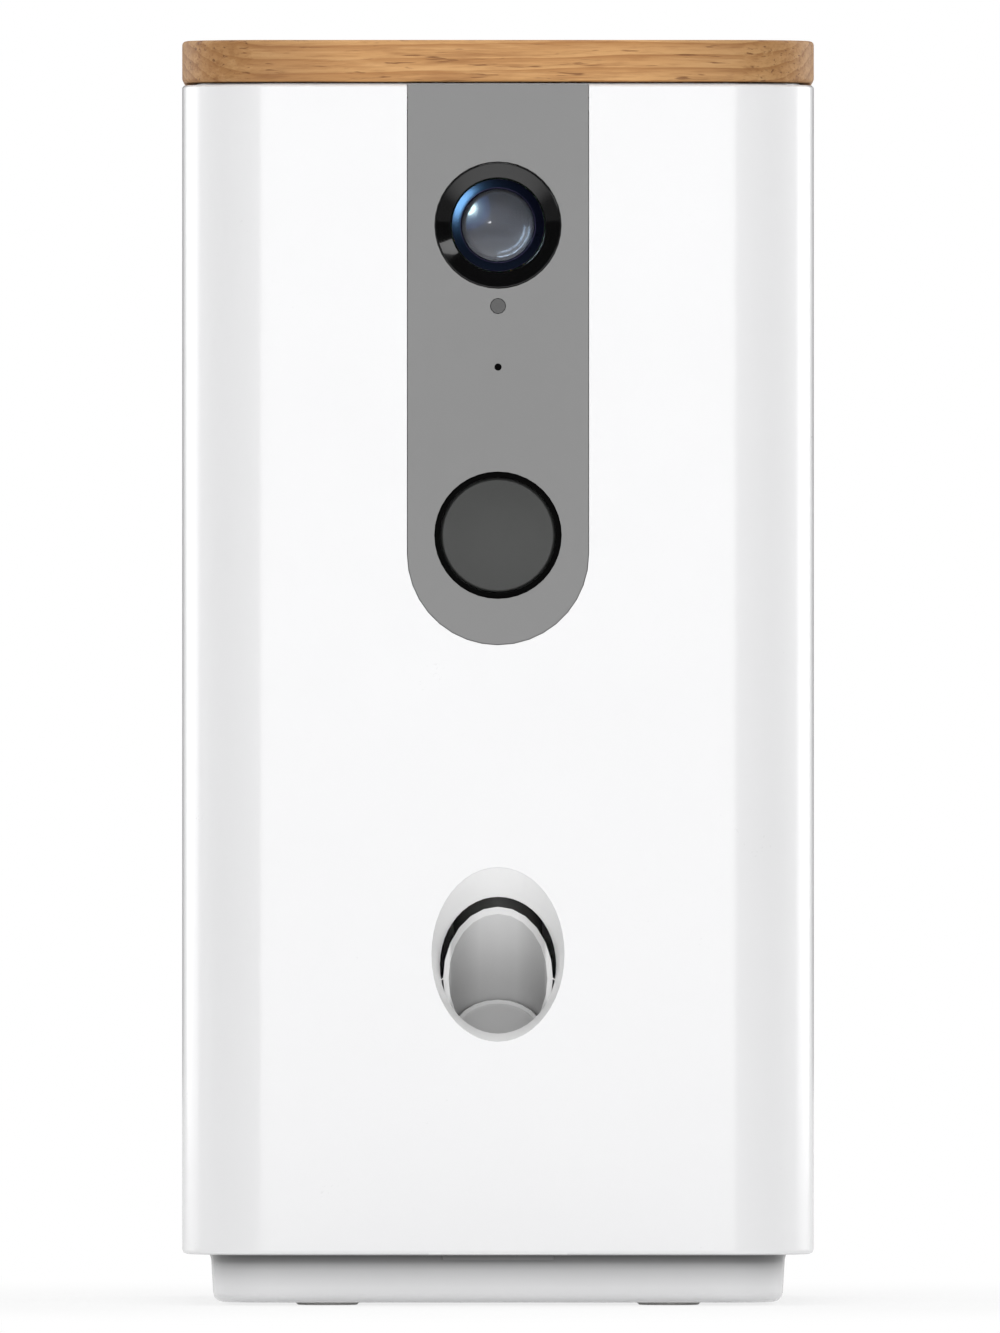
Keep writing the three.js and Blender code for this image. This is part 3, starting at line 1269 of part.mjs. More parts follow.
function makeChassis() {
  const deck = prism(insideOutline(DECK_GAP), deckLow, DECK_TOP);
  const posts = CORNERS.map(([, x, y]) => prism(
    circle(POST_RADIUS, SMALL_FACETS, x * postX, y * postY),
    plinthTop + SLIP,
    deckLow + DECK_THICKNESS / 2,
  ));
  const pilots = CORNERS.map(([, x, y]) => prism(
    circle(SCREW_SHANK_RADIUS + SEAT, SCREW_FACETS, x * postX, y * postY),
    plinthTop - OVERRUN,
    plinthTop + SCREW_BITE + OVERRUN,
  ));
  const deckHoles = [
    circle(DROP_BORE + DROP_WALL + SLIP, ROUND_FACETS, 0, dropY),
    circle(DECK_SHAFT_HOLE, SMALL_FACETS, 0, wheelY),
    circle(DECK_CABLE_RADIUS, SMALL_FACETS, 0, innerFaceY + DECK_CABLE_INSET),
  ].map((outline) => prism(outline, deckLow - OVERRUN, DECK_TOP + OVERRUN));
  piece('chassis', cut(join(deck, ...posts), ...pilots, ...deckHoles), MATERIALS.nylon);

  const outer = DROP_BORE + DROP_WALL;
  const lipTop = deckLow - SEAT;
  const dropTube = turned([
    [DROP_BORE, dropCollarTop + SEAT],
    [outer, dropCollarTop + SEAT],
    [outer, lipTop - DROP_LIP_HEIGHT],
    [outer + DROP_LIP, lipTop - DROP_LIP_HEIGHT],
    [outer + DROP_LIP, lipTop],
    [outer, lipTop],
    [outer, DECK_TOP],
    [DROP_BORE, DECK_TOP],
    [DROP_BORE, dropCollarTop + SEAT],
  ], ROUND_FACETS);
  piece('drop_tube', dropTube, MATERIALS.chute).position.set(0, dropY, 0);
}

function makeTreatWheel() {
  const step = TURN / WHEEL_POCKETS;
  const sides = Math.sqrt(WHEEL_RADIUS * WHEEL_RADIUS - POCKET_RADIUS * POCKET_RADIUS);
  const mouthAngle = Math.asin(POCKET_RADIUS / WHEEL_RADIUS);
  // Each pocket is a slot open at the rim, with a round inner end.
  const outline = Array.from({ length: WHEEL_POCKETS }, (_, i) => {
    const pocket = -QUARTER + i * step;
    const inner = arc(POCKET_RADIUS, 3 * QUARTER, QUARTER, POCKET_STEPS, POCKET_CIRCLE, 0);
    const slot = [
      new THREE.Vector2(sides, -POCKET_RADIUS),
      ...inner,
      new THREE.Vector2(sides, POCKET_RADIUS),
    ].map((p) => p.rotateAround(new THREE.Vector2(), pocket));
    const rim = arc(WHEEL_RADIUS, pocket + mouthAngle, pocket + step - mouthAngle, WHEEL_RIM_STEPS);
    return [...slot, ...rim.slice(1, -1)];
  }).flat();
  const hub = circle(SHAFT_RADIUS + SEAT, SMALL_FACETS);
  const wheel = prism(outline, wheelLow, wheelTop, [hub]);
  piece('treat_wheel', wheel, MATERIALS.white).position.y = wheelY;

  const low = wheelTop + SEAT;
  const cone = turned([
    [0, low],
    [AGITATOR_HUB, low],
    [AGITATOR_TIP, low + AGITATOR_HEIGHT],
    [0, low + AGITATOR_HEIGHT],
  ], SMALL_FACETS);
  const fins = Array.from({ length: AGITATOR_FINS }, (_, i) => prismAlongX(
    [
      [0, low],
      [AGITATOR_RADIUS, low],
      [AGITATOR_RADIUS, low + AGITATOR_HEIGHT * AGITATOR_SHOULDER_SHARE],
      [AGITATOR_TIP, low + AGITATOR_HEIGHT],
      [0, low + AGITATOR_HEIGHT],
    ].map(([y, z]) => new THREE.Vector2(y, z)),
    -AGITATOR_FIN / 2,
    AGITATOR_FIN / 2,
  ).rotateZ(TURN * i / AGITATOR_FINS));
  piece('agitator', join(cone, ...fins), MATERIALS.chute).position.y = wheelY;

  const shaft = turned([
    [0, deckLow - GEARBOX_BORE_DEPTH],
    [SHAFT_RADIUS, deckLow - GEARBOX_BORE_DEPTH],
    [SHAFT_RADIUS, wheelTop],
    [0, wheelTop],
  ], SMALL_FACETS);
  piece('wheel_shaft', shaft, MATERIALS.steel).position.y = wheelY;
}

// The opening over the wheel: a circle with its front cut off straight, so that the pocket over the
// drop hole stays covered. Its points start at the right and match the hopper's rectangle.
function openingOutline(grow) {
  const radius = COVER_OPENING_RADIUS + grow;
  const chord = COVER_CHORD + grow;
  return openingAngles().map((angle) => {
    const down = -Math.sin(angle);
    const reach = down * radius > chord ? chord / down : radius;
    return new THREE.Vector2(reach * Math.cos(angle), wheelY + reach * Math.sin(angle));
  });
}

// The directions of the hopper's corner points, seen from the wheel's centre.
function openingAngles() {
  return hopperOutline(0).map((p) => Math.atan2(p.y - wheelY, p.x));
}

function hopperOutline(grow) {
  return roundedRectangle(
    hopperInnerWidth + 2 * grow,
    hopperInnerDepth + 2 * grow,
    hopperInnerCorner + grow,
    0,
    hopperMiddleY,
  );
}

function makeHopper() {
  const skirt = WHEEL_RADIUS + COVER_SKIRT_GAP;
  const plate = prism(circle(skirt + COVER_SKIRT, RING_FACETS, 0, wheelY), DECK_TOP + SEAT, coverTop);
  const chamber = prism(circle(skirt, RING_FACETS, 0, wheelY), DECK_TOP - OVERRUN, coverLow);
  const opening = prism(openingOutline(0), coverLow - OVERRUN, coverTop + OVERRUN);
  piece('wheel_cover', cut(plate, chamber, opening), MATERIALS.white);

  const wiperY = wheelY - COVER_CHORD + SEAT;
  const wiperLow = wheelTop + SLIP;
  const wiper = box(
    [-WIPER_LENGTH / 2, wiperY, wiperLow],
    [WIPER_LENGTH / 2, wiperY + WIPER_THICKNESS, wiperLow + WIPER_HEIGHT],
  );
  piece('treat_wiper', wiper, MATERIALS.silicone);

  const outside = loft([
    { outline: openingOutline(FUNNEL_FOOT), z: hopperLow },
    { outline: hopperOutline(HOPPER_WALL), z: funnelKnee },
    { outline: hopperOutline(HOPPER_WALL), z: hopperTop },
  ]);
  const flange = prism(insideOutline(HOPPER_FLANGE_GAP, CORNER_STEPS), hopperTop - HOPPER_FLANGE, hopperTop);
  const belowFloor = hopperLow - OVERRUN;
  const inside = loft([
    { outline: openingOutline(0), z: belowFloor },
    { outline: openingOutline(0), z: hopperLow },
    { outline: hopperOutline(0), z: funnelKnee },
    { outline: hopperOutline(0), z: hopperTop + OVERRUN },
  ]);
  piece('treat_hopper', cut(join(outside, flange), inside), MATERIALS.white);
}

function makeSpeaker() {
  const front = -faceY;
  const holes = [];
  for (let row = -GRILLE_RINGS; row <= GRILLE_RINGS; row++) {
    for (let column = -GRILLE_RINGS; column <= GRILLE_RINGS; column++) {
      if (Math.abs(row + column) > GRILLE_RINGS) continue;
      const x = GRILLE_PITCH * (column + row / 2);
      const z = GRILLE_PITCH * row * Math.sqrt(3) / 2;
      holes.push(circle(GRILLE_HOLE, SCREW_FACETS, x, z));
    }
  }
  const grille = prismAlongY(circle(GRILLE_RADIUS, RING_FACETS), front - WALL, front, holes);
  piece('speaker_grille', grille, MATERIALS.white).position.z = BACK_GRILLE_HEIGHT;

  const rimY = speakerBackY - SEAT;
  const driver = turnedAlongY([
    [0, rimY - SPEAKER_DEPTH],
    [SPEAKER_MAGNET, rimY - SPEAKER_DEPTH],
    [SPEAKER_MAGNET, rimY - SPEAKER_DEPTH + SPEAKER_MAGNET_DEPTH],
    [SPEAKER_RADIUS, rimY - SPEAKER_RIM],
    [SPEAKER_RADIUS, rimY],
    [SPEAKER_CONE, rimY],
    [SPEAKER_DOME, rimY - SPEAKER_CONE_DEPTH],
    [0, rimY - SPEAKER_CONE_DEPTH / 2],
  ], ROUND_FACETS);
  piece('speaker', driver, MATERIALS.rubber).position.z = BACK_GRILLE_HEIGHT;
}

function makeMainBoard() {
  const top = MAIN_BOARD_HEIGHT + BOARD_THICKNESS;
  const middleY = (boardFrontY + boardRearY) / 2;
  const board = box(
    [-MAIN_BOARD_HALF_WIDTH, boardFrontY, MAIN_BOARD_HEIGHT],
    [MAIN_BOARD_HALF_WIDTH, boardRearY, top],
  );
  const chip = box(
    [-CHIP_SIDE / 2, middleY - CHIP_SIDE, top - BOARD_THICKNESS / 2],
    [CHIP_SIDE / 2, middleY, top + CHIP_HEIGHT],
  );
  const notches = CORNERS.map(([, x, y]) => prism(
    circle(POST_RADIUS + MAIN_BOARD_POST_GAP, SMALL_FACETS, x * postX, y * postY),
    MAIN_BOARD_HEIGHT - OVERRUN,
    top + OVERRUN,
  ));
  piece('main_board', join(cut(board, ...notches), chip), MATERIALS.board);

  const moduleX = -MAIN_BOARD_HALF_WIDTH + MODULE_WIDTH;
  const radio = box(
    [moduleX - MODULE_WIDTH / 2, middleY - MODULE_LENGTH / 2, top + SEAT],
    [moduleX + MODULE_WIDTH / 2, middleY + MODULE_LENGTH / 2, top + SEAT + MODULE_HEIGHT],
  );
  piece('wifi_module', radio, MATERIALS.steel);

  const mouth = -faceY - SEAT;
  const rear = boardRearY + SEAT;
  const body = box(
    [-JACK_WIDTH / 2, rear - JACK_LENGTH, -JACK_HEIGHT / 2],
    [JACK_WIDTH / 2, rear, JACK_HEIGHT / 2],
  );
  const nose = prismAlongY(circle(JACK_NOSE_RADIUS, ROUND_FACETS), rear - OVERRUN, mouth);
  const bore = prismAlongY(circle(JACK_BORE, SMALL_FACETS), mouth - JACK_BORE_DEPTH, mouth + OVERRUN);
  const pin = prismAlongY(
    circle(JACK_PIN, SCREW_FACETS),
    mouth - JACK_BORE_DEPTH - JACK_PIN,
    mouth - JACK_PIN,
  );
  piece('dc_jack', join(cut(join(body, nose), bore), pin), MATERIALS.black).position.z = jackHeight;
}

makeHousing();
makePlinth();
makeLid();
makeFrontPanel();
makeCamera();
makeSensors();
makeButton();
makeLauncher();
makeLauncherFrame();
makeGearmotors();
makeChassis();
makeTreatWheel();
makeHopper();
makeSpeaker();
makeMainBoard();

export default device;
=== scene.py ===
"""The looks of a treat tossing pet camera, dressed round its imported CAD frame. Metres."""

import json
import math

import bpy
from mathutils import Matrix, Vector

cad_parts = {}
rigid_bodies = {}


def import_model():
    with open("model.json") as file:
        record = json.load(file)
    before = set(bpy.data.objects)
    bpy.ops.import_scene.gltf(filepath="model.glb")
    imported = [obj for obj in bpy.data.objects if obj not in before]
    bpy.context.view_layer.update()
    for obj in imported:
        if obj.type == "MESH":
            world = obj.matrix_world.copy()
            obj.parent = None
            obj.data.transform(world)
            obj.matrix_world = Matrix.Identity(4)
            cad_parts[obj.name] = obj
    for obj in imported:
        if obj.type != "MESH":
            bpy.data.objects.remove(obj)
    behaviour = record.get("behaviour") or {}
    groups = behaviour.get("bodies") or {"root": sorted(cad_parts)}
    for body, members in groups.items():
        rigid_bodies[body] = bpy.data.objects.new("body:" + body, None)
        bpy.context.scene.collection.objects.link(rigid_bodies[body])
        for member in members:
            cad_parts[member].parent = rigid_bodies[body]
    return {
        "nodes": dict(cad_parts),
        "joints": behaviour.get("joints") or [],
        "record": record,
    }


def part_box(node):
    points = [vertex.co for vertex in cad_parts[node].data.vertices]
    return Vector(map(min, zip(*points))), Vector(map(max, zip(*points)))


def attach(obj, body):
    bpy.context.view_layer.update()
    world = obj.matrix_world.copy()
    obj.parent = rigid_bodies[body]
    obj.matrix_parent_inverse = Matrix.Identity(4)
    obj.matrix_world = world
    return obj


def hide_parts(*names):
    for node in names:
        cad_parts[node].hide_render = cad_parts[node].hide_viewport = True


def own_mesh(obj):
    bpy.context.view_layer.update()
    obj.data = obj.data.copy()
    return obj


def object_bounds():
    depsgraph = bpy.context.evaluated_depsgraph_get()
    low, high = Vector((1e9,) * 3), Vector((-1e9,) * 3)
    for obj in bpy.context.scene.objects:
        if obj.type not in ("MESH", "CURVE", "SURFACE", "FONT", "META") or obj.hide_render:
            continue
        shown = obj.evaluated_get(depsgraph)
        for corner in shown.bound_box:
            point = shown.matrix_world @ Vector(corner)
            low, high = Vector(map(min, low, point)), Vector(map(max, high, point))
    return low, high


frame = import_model()
cad_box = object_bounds()

MM = 0.001
WHITE = (1.0, 1.0, 1.0)

# Camera: the photograph is taken straight from the front, 1000 x 1333 pixels
PIXEL = 0.2164 * MM
IMAGE_HEIGHT = 1333
IMAGE_CENTRE_X = 2 * PIXEL  # right of the object's middle
IMAGE_CENTRE_Z = 639.5 * PIXEL
LENS = 1000
SENSOR = 36
CLIP_START = 0.05
CLIP_END = 50.0

# Room. A share is how far a mirrored direction points straight back
AMBIENT = 0.5
ROOM = 0.02  # what gloss mirrors from in front of the object
BACKDROP = 1.0  # and from behind it
BACKDROP_START = -0.55  # share where the room turns into the backdrop
BACKDROP_END = 0.25
FLAG_START = 0.82  # share where the backdrop turns dark
FLAG_END = 0.95
FLAG_LEVEL = 0.03

# Floor
FLOOR_SIZE = 8
FLOOR_DROP = 0.02 * MM  # keeps it off the feet's own faces
FLOOR_GREY = 0.9
FLOOR_GLOW_NEAR = 0.78  # less glow near the object lets its shadow show
FLOOR_GLOW_START = 0.1
FLOOR_GLOW_END = 0.3
FLOOR_MIRROR_NEAR = 0.85  # what gloss mirrors of it, near the object and far in front
FLOOR_MIRROR_FAR = 0.12
FLOOR_MIRROR_START = 0.24
FLOOR_MIRROR_END = 0.5

# Lamps: name, place, target, width, height and power
MIDDLE = (0.0, 0.0, 0.14)
LAMPS = [
    ("front_light", (0.0, -1.37, 0.235), (0.0, 0.0, 0.235), 0.66, 0.47, 2.6),
    ("key_light", (0.0, -1.9, 0.8), MIDDLE, 1.1, 0.7, 5.9),
    ("left_light", (-1.75, 1.15, 0.8), MIDDLE, 1.3, 1.8, 14.0),
    ("right_light", (1.75, 1.15, 0.8), MIDDLE, 1.3, 1.8, 16.0),
    ("top_light", (0.0, -0.55, 2.2), (0.0, -0.55, 0.0), 1.2, 0.66, 10.5),
]

# Cards that the gloss of some pieces mirrors stand round a place in the front lens
lens_low, lens_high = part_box("front_lens")
CARD_TARGET = Vector((0.0, lens_low.y + 0.9 * MM, (lens_low.z + lens_high.z) / 2))

# What the lenses mirror at their upper left: widths, radiances and colours of cards one behind another
WINDOW_DIRECTION = (-0.6, -0.7, 0.37)
WINDOW_DISTANCE = 2.2
WINDOW_GLINT = [
    (0.58, 26.0, (0.68, 0.96, 1.0)),
    (0.8, 8.0, (0.6, 0.82, 1.0)),
    (1.15, 3.0, (0.35, 0.62, 1.0)),
    (1.6, 1.7, (0.2, 0.45, 1.0)),
    (2.2, 1.0, (0.12, 0.32, 1.0)),
]
# Single cards: name, direction, distance, width, height, radiance, colour and the nodes that mirror it
CARDS = [
    (
        "ring_card", (-0.66, -0.62, 0.42), 2.2, 1.3, 1.3, 90.0, (0.7, 0.9, 1.0),
        ["lens_retainer", "lens_barrel"],
    ),
    ("dot_card", (-0.235, -0.967, 0.096), 2.2, 0.1, 0.1, 30.0, WHITE, ["front_lens"]),
    ("strip_card", (0.78, -0.509, 0.364), 2.0, 0.46, 0.5, 1.9, WHITE, ["lens_bezel"]),
]
# Arcs at the front lens's lower right: degrees from straight ahead, width and radiance of each
CRESCENTS = [(37.7, 0.01, 8.0), (45.6, 0.015, 16.0)]
CRESCENT_CARDS = 6
CRESCENT_OVERLAP = 1.1
CRESCENT_START = math.radians(-8)
CRESCENT_TURN = math.radians(-15)
CRESCENT_DISTANCE = 0.3
CRESCENT_COLOR = (0.62, 0.8, 1.0)

# Painted shade: under the housing's edge the plinth's colour is darkened, standing in for the overhang's
# shadow: heights and levels
PLINTH_SHADE = [
    (1.5 * MM, 1.0),
    (3.9 * MM, 0.95),
    (5.6 * MM, 0.82),
    (7.6 * MM, 0.63),
    (8.7 * MM, 0.44),
    (9.5 * MM, 0.22),
    (10.0 * MM, 0.15),
    (10.6 * MM, 0.07),
]
# Painted light: the chute's recess is given a paler colour, standing in for light falling into it
RECESS_HALF_WIDTH = 15 * MM
RECESS_START = -cad_box[0][1] - 0.2 * MM  # from the middle, just behind the front face
# Painted shade: the bore's sides are darker than its middle, standing in for the shade inside the tube:
# distances from the middle and levels
BORE_SHADE = [
    (0.0, 1.0),
    (4.0 * MM, 0.96),
    (7.5 * MM, 0.74),
    (10.0 * MM, 0.62),
    (10.6 * MM, 1.0),
]
# Painted highlight round the plunger's disc edge
RIM_HIGHLIGHT_WIDTH = 1.8 * MM  # how far from its edge the plunger's disc is paler

# Moulded plastic: noise scales of its slow tone changes and of its wear
TONE_SCALE = 14.0
WEAR_SCALE = 55.0

# Wood: growth rings round a pith, and the share of a distance along the board that counts in their radius
RING_WIDTH = 2.6 * MM
PITH = (0.0, 60 * MM, -20 * MM)
RING_TAPER = 0.03
OAK_RINGS = [
    (0.0, (196, 150, 98)),
    (0.5, (190, 143, 92)),
    (0.82, (176, 128, 78)),
    (0.94, (166, 117, 69)),
    (1.0, (193, 147, 96)),
]

# Springs: the new piece, its node and joint, the wire's radius and the turns
COILS = [
    ("launch_coil", "launch_spring", "plunger_slide", 0.7 * MM, 9),
    ("button_coil", "button_spring", "button_press", 0.4 * MM, 5),
]
COIL_STEPS = 32  # of one turn
COIL_SIDES = 12

# Edges
WELD = 0.001 * MM
FLAT_ANGLE = math.radians(0.5)
SHARP_ANGLE = math.radians(32)
BEVEL_WIDTH = 0.12 * MM
EDGE_COSINE = 0.75  # between a face's direction and the same rounded, on an edge and on a flat face
FLAT_COSINE = 0.98


class Nodes:
    """Fills a shader's tree. An input is a number, a colour, or another node's output."""

    def __init__(self, tree):
        self.tree = tree
        tree.nodes.clear()

    def node(self, kind, inputs=None, **settings):
        node = self.tree.nodes.new("ShaderNode" + kind)
        for key, value in settings.items():
            setattr(node, key, value)
        self.feed(node, inputs or {})
        return node

    def feed(self, node, inputs):
        for key, value in inputs.items():
            socket = node.inputs[key]
            if isinstance(value, bpy.types.NodeSocket):
                self.tree.links.new(value, socket)
            else:
                socket.default_value = (*value, 1.0) if socket.type == "RGBA" else value

    def math(self, operation, *values):
        return self.node("Math", dict(enumerate(values)), operation=operation).outputs[0]

    def vectors(self, operation, *values):
        node = self.node("VectorMath", dict(enumerate(values)), operation=operation)
        return node.outputs["Value" if operation in ("LENGTH", "DOT_PRODUCT") else "Vector"]

    def part(self, vector, axis):
        """A vector's size along one axis."""
        return self.node("SeparateXYZ", {0: vector}).outputs[axis]

    def between(self, value, low, high, start=0.0, end=1.0, kind="LINEAR"):
        """Turns start..end into low..high."""
        inputs = {"Value": value, "From Min": start, "From Max": end, "To Min": low, "To Max": high}
        return self.node("MapRange", inputs, interpolation_type=kind).outputs[0]

    def smoothly(self, value, low, high, start, end):
        """Does the same with soft ends."""
        return self.between(value, low, high, start, end, "SMOOTHSTEP")

    def white(self, kind, strength):
        """White light of a kind: a world's Background, or a surface's Emission."""
        return self.node(kind, {"Color": WHITE, "Strength": strength}).outputs[0]

    def mix_shaders(self, factor, a, b):
        return self.node("MixShader", {0: factor, 1: a, 2: b}).outputs[0]


class Finish(Nodes):
    """A procedural material."""

    def __init__(self, name):
        self.material = bpy.data.materials.new(name)
        self.material.use_nodes = True
        super().__init__(self.material.node_tree)
        self.shader = self.node("BsdfPrincipled")
        self.node("OutputMaterial", {0: self.shader.outputs[0]})
        self.place = self.node("TexCoord").outputs["Object"]

    def set(self, **inputs):
        """Sets the shader's inputs, with _ for a space in their names."""
        self.feed(self.shader, {key.replace("_", " "): value for key, value in inputs.items()})

    def noise(self, scale, detail, roughness=0.5, distortion=0.0):
        """Noise with one scale, or drawn out by a scale for each axis."""
        place = self.place
        if isinstance(scale, tuple):
            place = self.node("Mapping", {"Vector": place, "Scale": scale}).outputs[0]
            scale = 1.0
        inputs = {
            "Vector": place,
            "Scale": scale,
            "Detail": detail,
            "Roughness": roughness,
            "Distortion": distortion,
        }
        return self.node("TexNoise", inputs).outputs[0]

    def from_middle(self, axis):
        """How far a place is from the middle along one axis."""
        return self.math("ABSOLUTE", self.part(self.place, axis))

    def colors(self, value, stops):
        """A ramp of colours, each at its value."""
        node = self.node("ValToRGB", {0: value})
        ramp = node.color_ramp
        while len(ramp.elements) < len(stops):
            ramp.elements.new(1.0)
        for element, (position, color) in zip(ramp.elements, stops):
            element.position = position
            element.color = (*color, 1.0)
        return node.outputs[0]

    def mix(self, factor, a, b, blend="MIX"):
        colors = {0: factor, 6: a, 7: b}
        return self.node("Mix", colors, data_type="RGBA", blend_type=blend).outputs[2]

    def bump(self, height, depth, strength=1.0):
        return self.node("Bump", {"Height": height, "Distance": depth, "Strength": strength}).outputs[0]

    def edges(self, radius):
        """1 on an edge that stands out, 0 on a flat face."""
        rounded = self.node("Bevel", {"Radius": radius}, samples=4).outputs[0]
        plain = self.node("NewGeometry").outputs["Normal"]
        cosine = self.vectors("DOT_PRODUCT", rounded, plain)
        return self.between(cosine, 1.0, 0.0, EDGE_COSINE, FLAT_COSINE)


def linear(*levels):
    """A colour given in 0-255 screen levels."""
    def one(level):
        share = level / 255
        return share / 12.92 if share <= 0.04045 else ((share + 0.055) / 1.055) ** 2.4
    return tuple(one(level) for level in levels)


def grey(level):
    return linear(level, level, level)


def shade(color, factor):
    return tuple(min(1.0, channel * factor) for channel in color)


def moulded(name, color, rough, grain, depth, mottle, rim=1.0, shading=None, **more):
    """Moulded plastic with slow tone changes, a fine skin, and edges a little paler or darker.

    Grain is the noise scale of the skin and depth its height. Mottle is the share by which tones change, and
    rim the factor of the colour at edges. Shading is a function that takes the finish and its colour, and
    gives the colour with painted light or shade.
    """
    finish = Finish(name)
    tone = finish.noise(TONE_SCALE, 4.0)
    body = finish.colors(tone, [(0.3, shade(color, 1 - mottle)), (0.7, shade(color, 1 + mottle))])
    if rim != 1.0:
        body = finish.mix(finish.edges(0.35 * MM), body, shade(color, rim))
    if shading:
        body = shading(finish, body)
    skin = finish.noise(grain, 3.0)
    wear = finish.noise(WEAR_SCALE, 5.0, roughness=0.65)
    uneven = finish.math("ADD", finish.between(skin, -0.04, 0.04), finish.between(wear, -0.05, 0.06))
    finish.set(
        Base_Color=body,
        Roughness=finish.math("ADD", uneven, rough),
        Normal=finish.bump(skin, depth),
        **more,
    )
    return finish.material


def ring_tones(finish):
    """Growth rings round a pith far under the board, which waver along the grain."""
    drift = finish.noise((5.0, 30.0, 30.0), 3.0)
    fine_drift = finish.noise((24.0, 240.0, 240.0), 4.0)
    waver = finish.math(
        "ADD", finish.between(drift, -4 * MM, 4 * MM), finish.between(fine_drift, -0.9 * MM, 0.9 * MM)
    )
    offset = finish.vectors("SUBTRACT", finish.place, PITH)
    radius = finish.vectors("LENGTH", finish.vectors("MULTIPLY", offset, (RING_TAPER, 1.0, 1.0)))
    rings = finish.math("MULTIPLY", finish.math("ADD", radius, waver), 1 / RING_WIDTH)
    stops = [(place, linear(*levels)) for place, levels in OAK_RINGS]
    return finish.colors(finish.math("FRACT", rings), stops)


def oak():
    """Oiled wood with its grain along X."""
    finish = Finish("lid_oak")
    board = finish.noise((7.0, 60.0, 60.0), 2.0)
    streak = finish.noise((42.0, 620.0, 620.0), 4.0, roughness=0.6, distortion=0.3)
    fibre = finish.noise((110.0, 1700.0, 1700.0), 5.0, roughness=0.62)
    pore_noise = finish.noise((130.0, 1500.0, 1500.0), 2.0, distortion=0.4)
    pores = finish.between(pore_noise, 0.0, 1.0, 0.63, 0.71)
    tints = [
        (finish.between(board, 0.0, 0.4, 0.4, 0.68), linear(174, 124, 76)),
        (finish.between(streak, 0.0, 0.7, 0.52, 0.7), linear(146, 97, 54)),
        (finish.between(streak, 0.5, 0.0, 0.32, 0.46), linear(208, 164, 112)),
        (finish.between(fibre, 0.0, 0.55, 0.48, 0.74), linear(148, 100, 58)),
        (finish.math("MULTIPLY", pores, 0.75), linear(112, 70, 38)),
        (finish.math("MULTIPLY", finish.edges(0.6 * MM), 0.4), linear(216, 176, 128)),
    ]
    body = ring_tones(finish)
    for share, tint in tints:
        body = finish.mix(share, body, tint)
    # Painted shade: the wood is lighter in the middle and darker towards its sides, standing in for how light
    # falls on the lid's ends
    painted_side_shade = finish.between(finish.from_middle("X"), 1.24, 0.86, 30 * MM, 58 * MM)
    height = finish.math("SUBTRACT", fibre, finish.math("MULTIPLY", pores, 1.4))
    finish.set(
        Base_Color=finish.mix(1.0, body, painted_side_shade, "MULTIPLY"),
        Roughness=finish.between(fibre, 0.46, 0.66),
        Normal=finish.bump(height, 0.05 * MM, 0.8),
        Coat_Weight=0.08,
        Coat_Roughness=0.4,
        Specular_IOR_Level=0.3,
    )
    return finish.material


def coated_glass(name, color):
    """Lens glass with a fine haze and a soft coat."""
    finish = Finish(name)
    dust = finish.noise(900.0, 2.0)
    smear = finish.noise(120.0, 4.0, roughness=0.7)
    finish.set(
        Base_Color=color,
        Roughness=finish.between(smear, 0.04, 0.08, 0.4, 0.8),
        Transmission_Weight=0.88,
        IOR=1.36,
        Coat_Weight=0.7,
        Coat_Roughness=0.2,
        Normal=finish.bump(dust, 0.0001 * MM),
    )
    return finish.material


def anodised():
    """Black metal with a blue sheen and a fine grain."""
    finish = Finish("anodised_ring")
    lines = finish.noise(2600.0, 2.0)
    body = finish.colors(lines, [(0.3, (0.002, 0.002, 0.006)), (0.7, (0.003, 0.003, 0.01))])
    finish.set(
        # Painted highlight: edges turn a paler violet, standing in for the violet line that light draws along
        # the ring's edge
        Base_Color=finish.mix(finish.edges(0.2 * MM), body, (0.16, 0.12, 0.26)),
        Roughness=finish.between(lines, 0.24, 0.34),
        Specular_IOR_Level=0.14,
        Specular_Tint=(0.3, 0.58, 1.0),
        Normal=finish.bump(lines, 0.002 * MM),
    )
    return finish.material


def metal(name, color, rough, brush):
    """Drawn or plated metal, with fine lines along one direction."""
    finish = Finish(name)
    lines = finish.noise(brush, 4.0, roughness=0.7)
    stain = finish.noise(40.0, 5.0, roughness=0.6)
    body = finish.colors(stain, [(0.25, shade(color, 0.82)), (0.75, shade(color, 1.08))])
    finish.set(
        Base_Color=finish.mix(finish.edges(0.25 * MM), body, shade(color, 1.25)),
        Metallic=1.0,
        Roughness=finish.math("ADD", finish.between(lines, -0.08, 0.1), rough),
        Normal=finish.bump(lines, 0.01 * MM),
    )
    return finish.material


def circuit():
    """Solder mask over copper traces, with pads."""
    finish = Finish("circuit_board")
    squares = {"Vector": finish.place, "Scale": 420.0}
    square = finish.node("TexVoronoi", squares, distance="CHEBYCHEV").outputs["Distance"]
    pads = finish.between(square, 1.0, 0.0, 0.12, 0.16)
    lanes = finish.node("TexWave", {
        "Vector": finish.place,
        "Scale": 260.0,
        "Distortion": 6.0,
        "Detail": 1.0,
        "Detail Scale": 0.25,
    }, wave_type="BANDS", bands_direction="DIAGONAL").outputs[1]
    traces = finish.between(lanes, 0.0, 1.0, 0.62, 0.7)
    mask = finish.mix(traces, linear(24, 84, 52), linear(42, 122, 74))
    finish.set(
        Base_Color=finish.mix(pads, mask, linear(206, 186, 132)),
        Metallic=finish.math("MULTIPLY", pads, 0.9),
        Roughness=finish.between(finish.noise(300.0, 3.0), 0.28, 0.42),
        Normal=finish.bump(finish.math("ADD", traces, pads), 0.03 * MM),
    )
    return finish.material


def painted_shade_along(axis, steps):
    """Painted shade: the colour multiplied by a level at each distance from the middle."""
    def shading(finish, body):
        low, high = steps[0][0], steps[-1][0]
        stops = [((place - low) / (high - low), (level, level, level)) for place, level in steps]
        tones = finish.colors(finish.between(finish.from_middle(axis), 0.0, 1.0, low, high), stops)
        return finish.mix(1.0, body, tones, "MULTIPLY")
    return shading


